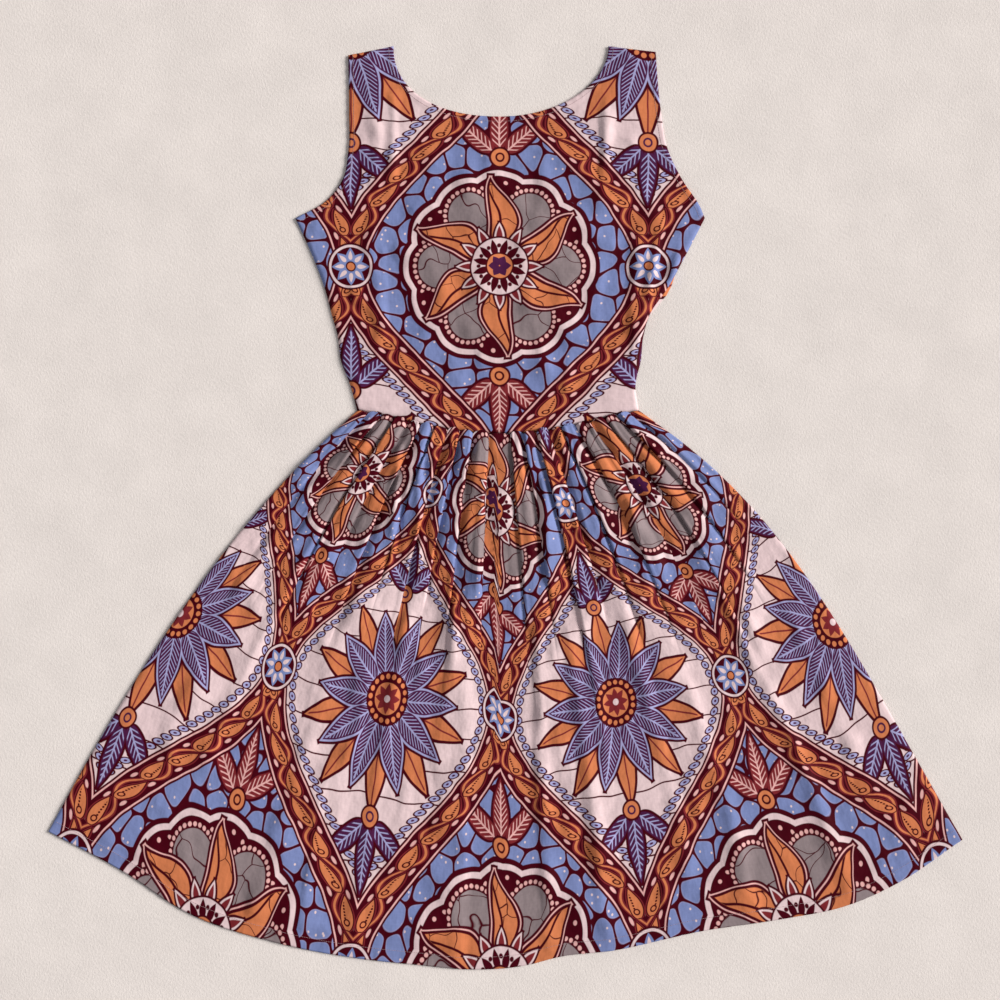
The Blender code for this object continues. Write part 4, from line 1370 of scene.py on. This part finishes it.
class DRESS_OT_back(bpy.types.Operator):
    """Make the two halves of the back bodice and of the back skirt"""
    bl_idname = "dress.back"
    bl_label = "Back"

    def execute(self, context):
        for side, name, peek in ((RIGHT, "right", 0.0), (LEFT, "left", PEEK_REACH)):
            self.bodice(side, name, peek)
            self.skirt(side, name)
        return {"FINISHED"}

    def bodice(self, side, name, peek):
        """Half a back bodice, flat on the floor."""
        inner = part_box("back_bodice_" + name)[1 if side == RIGHT else 0][0] + ORIGIN_ACROSS
        flat = bodice_half(side, abs(inner), NECK_DEPTH + BACK_NECK_DEEPER, BACK_COARSER, BACK_INSET, peek)
        cells = bodice_cells(flat.shape[1] - 1, 1, BACK_COARSER)
        height = np.full(flat.shape[:2], BACK_TOP)
        print_map = plain_map(flat, BACK_PRINT_PLACE)
        piece = cloth_mesh(f"back_bodice_{name}_cloth", flat, height, cells, print_map)
        declare(piece, ["back_bodice_" + name])

    def skirt(self, side, name):
        """Half a back skirt, flat on the floor, with the slot for the zip."""
        sign, side_seam = (-1, 0.0) if side == RIGHT else (1, 1.0)
        flat = skirt_threads(np.linspace(side_seam, 0.5, BACK_SKIRT_COLUMNS + 1),
                             np.linspace(0, 1, BACK_SKIRT_ROWS + 1))
        low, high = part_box("back_zip")
        zip_half = (high[0] - low[0]) / 2 + BACK_SEAM_GAP
        zip_end = low[1] + ORIGIN_UP
        inward = np.linspace(0, 1, BACK_SKIRT_COLUMNS + 1)
        row_above = np.append(flat[0, -1, 1], flat[:-1, -1, 1])
        gap = np.where(row_above > zip_end, zip_half, BACK_SEAM_GAP)
        flat[:, :, 0] += (sign * gap - flat[:, -1, 0])[:, None] * inward
        flat[:, :, 0] -= sign * BACK_INSET * (1 - inward)
        flat[-1, :, 1] += BACK_INSET
        cells = np.ones((BACK_SKIRT_ROWS, BACK_SKIRT_COLUMNS), dtype=bool)
        height = np.full(flat.shape[:2], BACK_TOP)
        print_map = plain_map(flat, BACK_PRINT_PLACE)
        piece = cloth_mesh(f"back_skirt_{name}_cloth", flat, height, cells, print_map)
        declare(piece, ["back_skirt_" + name])


class DRESS_OT_zip(bpy.types.Operator):
    """Make the concealed zip's tapes, coil, slider and pull"""
    bl_idname = "dress.zip"
    bl_label = "Zip"

    def execute(self, context):
        low, high = (np.array(corner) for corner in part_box("back_zip"))
        half_width = high[0]
        along_zip, across_zip = np.array([0.0, 1, 0]), np.array([1.0, 0, 0])

        tape_width = half_width - TAPE_GAP
        tape_middle = (half_width + TAPE_GAP) / 2
        centres = np.array([(side * tape_middle, low[1], TAPE_LEVEL) for side in (-1, 1)])
        stretch = np.linspace(0, high[1] - low[1], TAPE_RINGS)
        tapes = lofted("zip_tapes", bars(
            centres, np.tile(along_zip, (2, 1)), np.tile(across_zip, (2, 1)), stretch,
            np.full(len(stretch), tape_width / 2), TAPE_HALF_HEIGHT / (tape_width / 2)),
            zip_tape())
        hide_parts("back_zip")

        up = np.arange(low[1] + TOOTH_PITCH, high[1], TOOTH_PITCH)
        side = np.where(np.arange(len(up)) % 2 == 0, -1, 1)
        centres = np.column_stack([side * TOOTH_ASIDE, up, np.full(len(up), TOOTH_LEVEL)])
        lofted("zip_coil", bars(
            centres, np.tile(across_zip, (len(up), 1)), np.tile(along_zip, (len(up), 1)),
            TOOTH_REACH * np.array([-1, -0.85, 0, 0.85, 1]),
            TOOTH_RADIUS * np.array([0.5, 1, 0.85, 1, 0.5])), zip_coil())

        low, high = (np.array(corner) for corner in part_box("zip_slider"))
        length = high[1] - low[1]
        shares, body_widths, pull_widths = SLIDER_OUTLINE.T
        body = bars(np.array([(0, low[1], SLIDER_LEVEL)]), along_zip[None], across_zip[None],
                    length * shares, half_width * body_widths, SLIDER_HALF_HEIGHT / half_width)
        hinge = np.array([(0, low[1] + PULL_HINGE * length, PULL_LEVEL)])
        pull = bars(hinge, -along_zip[None], across_zip[None], PULL_LENGTH * shares,
                    PULL_WIDTH / 2 * pull_widths, 2 * PULL_HALF_HEIGHT / PULL_WIDTH)
        slider = lofted("zip_slider_and_pull", np.concatenate([body, pull]), zip_enamel())
        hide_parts("zip_slider")
        return {"FINISHED"}


class DRESS_OT_stage(bpy.types.Operator):
    """Make the floor, the lights and the camera"""
    bl_idname = "dress.stage"
    bl_label = "Stage"

    def execute(self, context):
        stage = context.scene.dress_stage
        mesh = bpy.data.meshes.new("floor")
        corners = [(x * FLOOR_HALF, y * FLOOR_HALF, 0) for x, y in ((-1, -1), (1, -1), (1, 1), (-1, 1))]
        mesh.from_pydata(corners, [], [(0, 1, 2, 3)])
        floor = bpy.data.objects.new("floor", mesh)
        context.scene.collection.objects.link(floor)
        mesh.materials.append(brushed_fleece())

        key = bpy.data.lights.new("key", "SUN")
        key.angle = KEY_SOFTNESS
        key.energy = stage.key_power
        key.color = linear(KEY_COLOUR)
        lamp = bpy.data.objects.new("key", key)
        lamp.location = KEY_FROM
        lamp.rotation_mode = "QUATERNION"
        lamp.rotation_quaternion = lamp.location.to_track_quat("Z", "Y")
        context.scene.collection.objects.link(lamp)

        world = bpy.data.worlds.new("studio")
        world.use_nodes = True
        background = world.node_tree.nodes["Background"]
        background.inputs["Color"].default_value = (*linear(FILL_COLOUR), 1)
        background.inputs["Strength"].default_value = stage.fill_strength
        context.scene.world = world
        context.scene.view_settings.view_transform = "Standard"

        camera = bpy.data.cameras.new("camera")
        camera.sensor_width = SENSOR
        camera.lens = LENS
        eye = bpy.data.objects.new("camera", camera)
        eye.location = (EYE_ACROSS, EYE_UP, FRONT_REST + SHOWN_FLOOR * LENS / SENSOR)
        context.scene.collection.objects.link(eye)
        context.scene.camera = eye
        return {"FINISHED"}


class DRESS_PT_panel(bpy.types.Panel):
    """The dress's pieces and settings"""
    bl_idname = "DRESS_PT_panel"
    bl_label = "Wax print dress"
    bl_space_type = "VIEW_3D"
    bl_region_type = "UI"
    bl_category = "Dress"

    def draw(self, context):
        for group in (context.scene.dress_cloth, context.scene.dress_print, context.scene.dress_stage):
            box = self.layout.box()
            for name in group.__annotations__:
                box.prop(group, name)
        for operator in OPERATORS:
            self.layout.operator(operator.bl_idname)


GROUPS = {"dress_cloth": DressCloth, "dress_print": DressPrint, "dress_stage": DressStage}
OPERATORS = (DRESS_OT_stage, DRESS_OT_back, DRESS_OT_zip, DRESS_OT_front_skirt, DRESS_OT_front_bodice)


def register():
    """Add the classes, and the settings to each scene."""
    for cls in (*GROUPS.values(), *OPERATORS, DRESS_PT_panel):
        bpy.utils.register_class(cls)
    for name, group in GROUPS.items():
        setattr(bpy.types.Scene, name, bpy.props.PointerProperty(type=group))


def unregister():
    """Take away what register added."""
    for name in GROUPS:
        delattr(bpy.types.Scene, name)
    for cls in (DRESS_PT_panel, *reversed(OPERATORS), *reversed(GROUPS.values())):
        bpy.utils.unregister_class(cls)


def main():
    """Make the stage and the dress."""
    register()
    bpy.ops.dress.stage()
    bpy.ops.dress.back()
    bpy.ops.dress.zip()
    bpy.ops.dress.front_skirt()
    bpy.ops.dress.front_bodice()


if __name__ == "__main__":
    main()
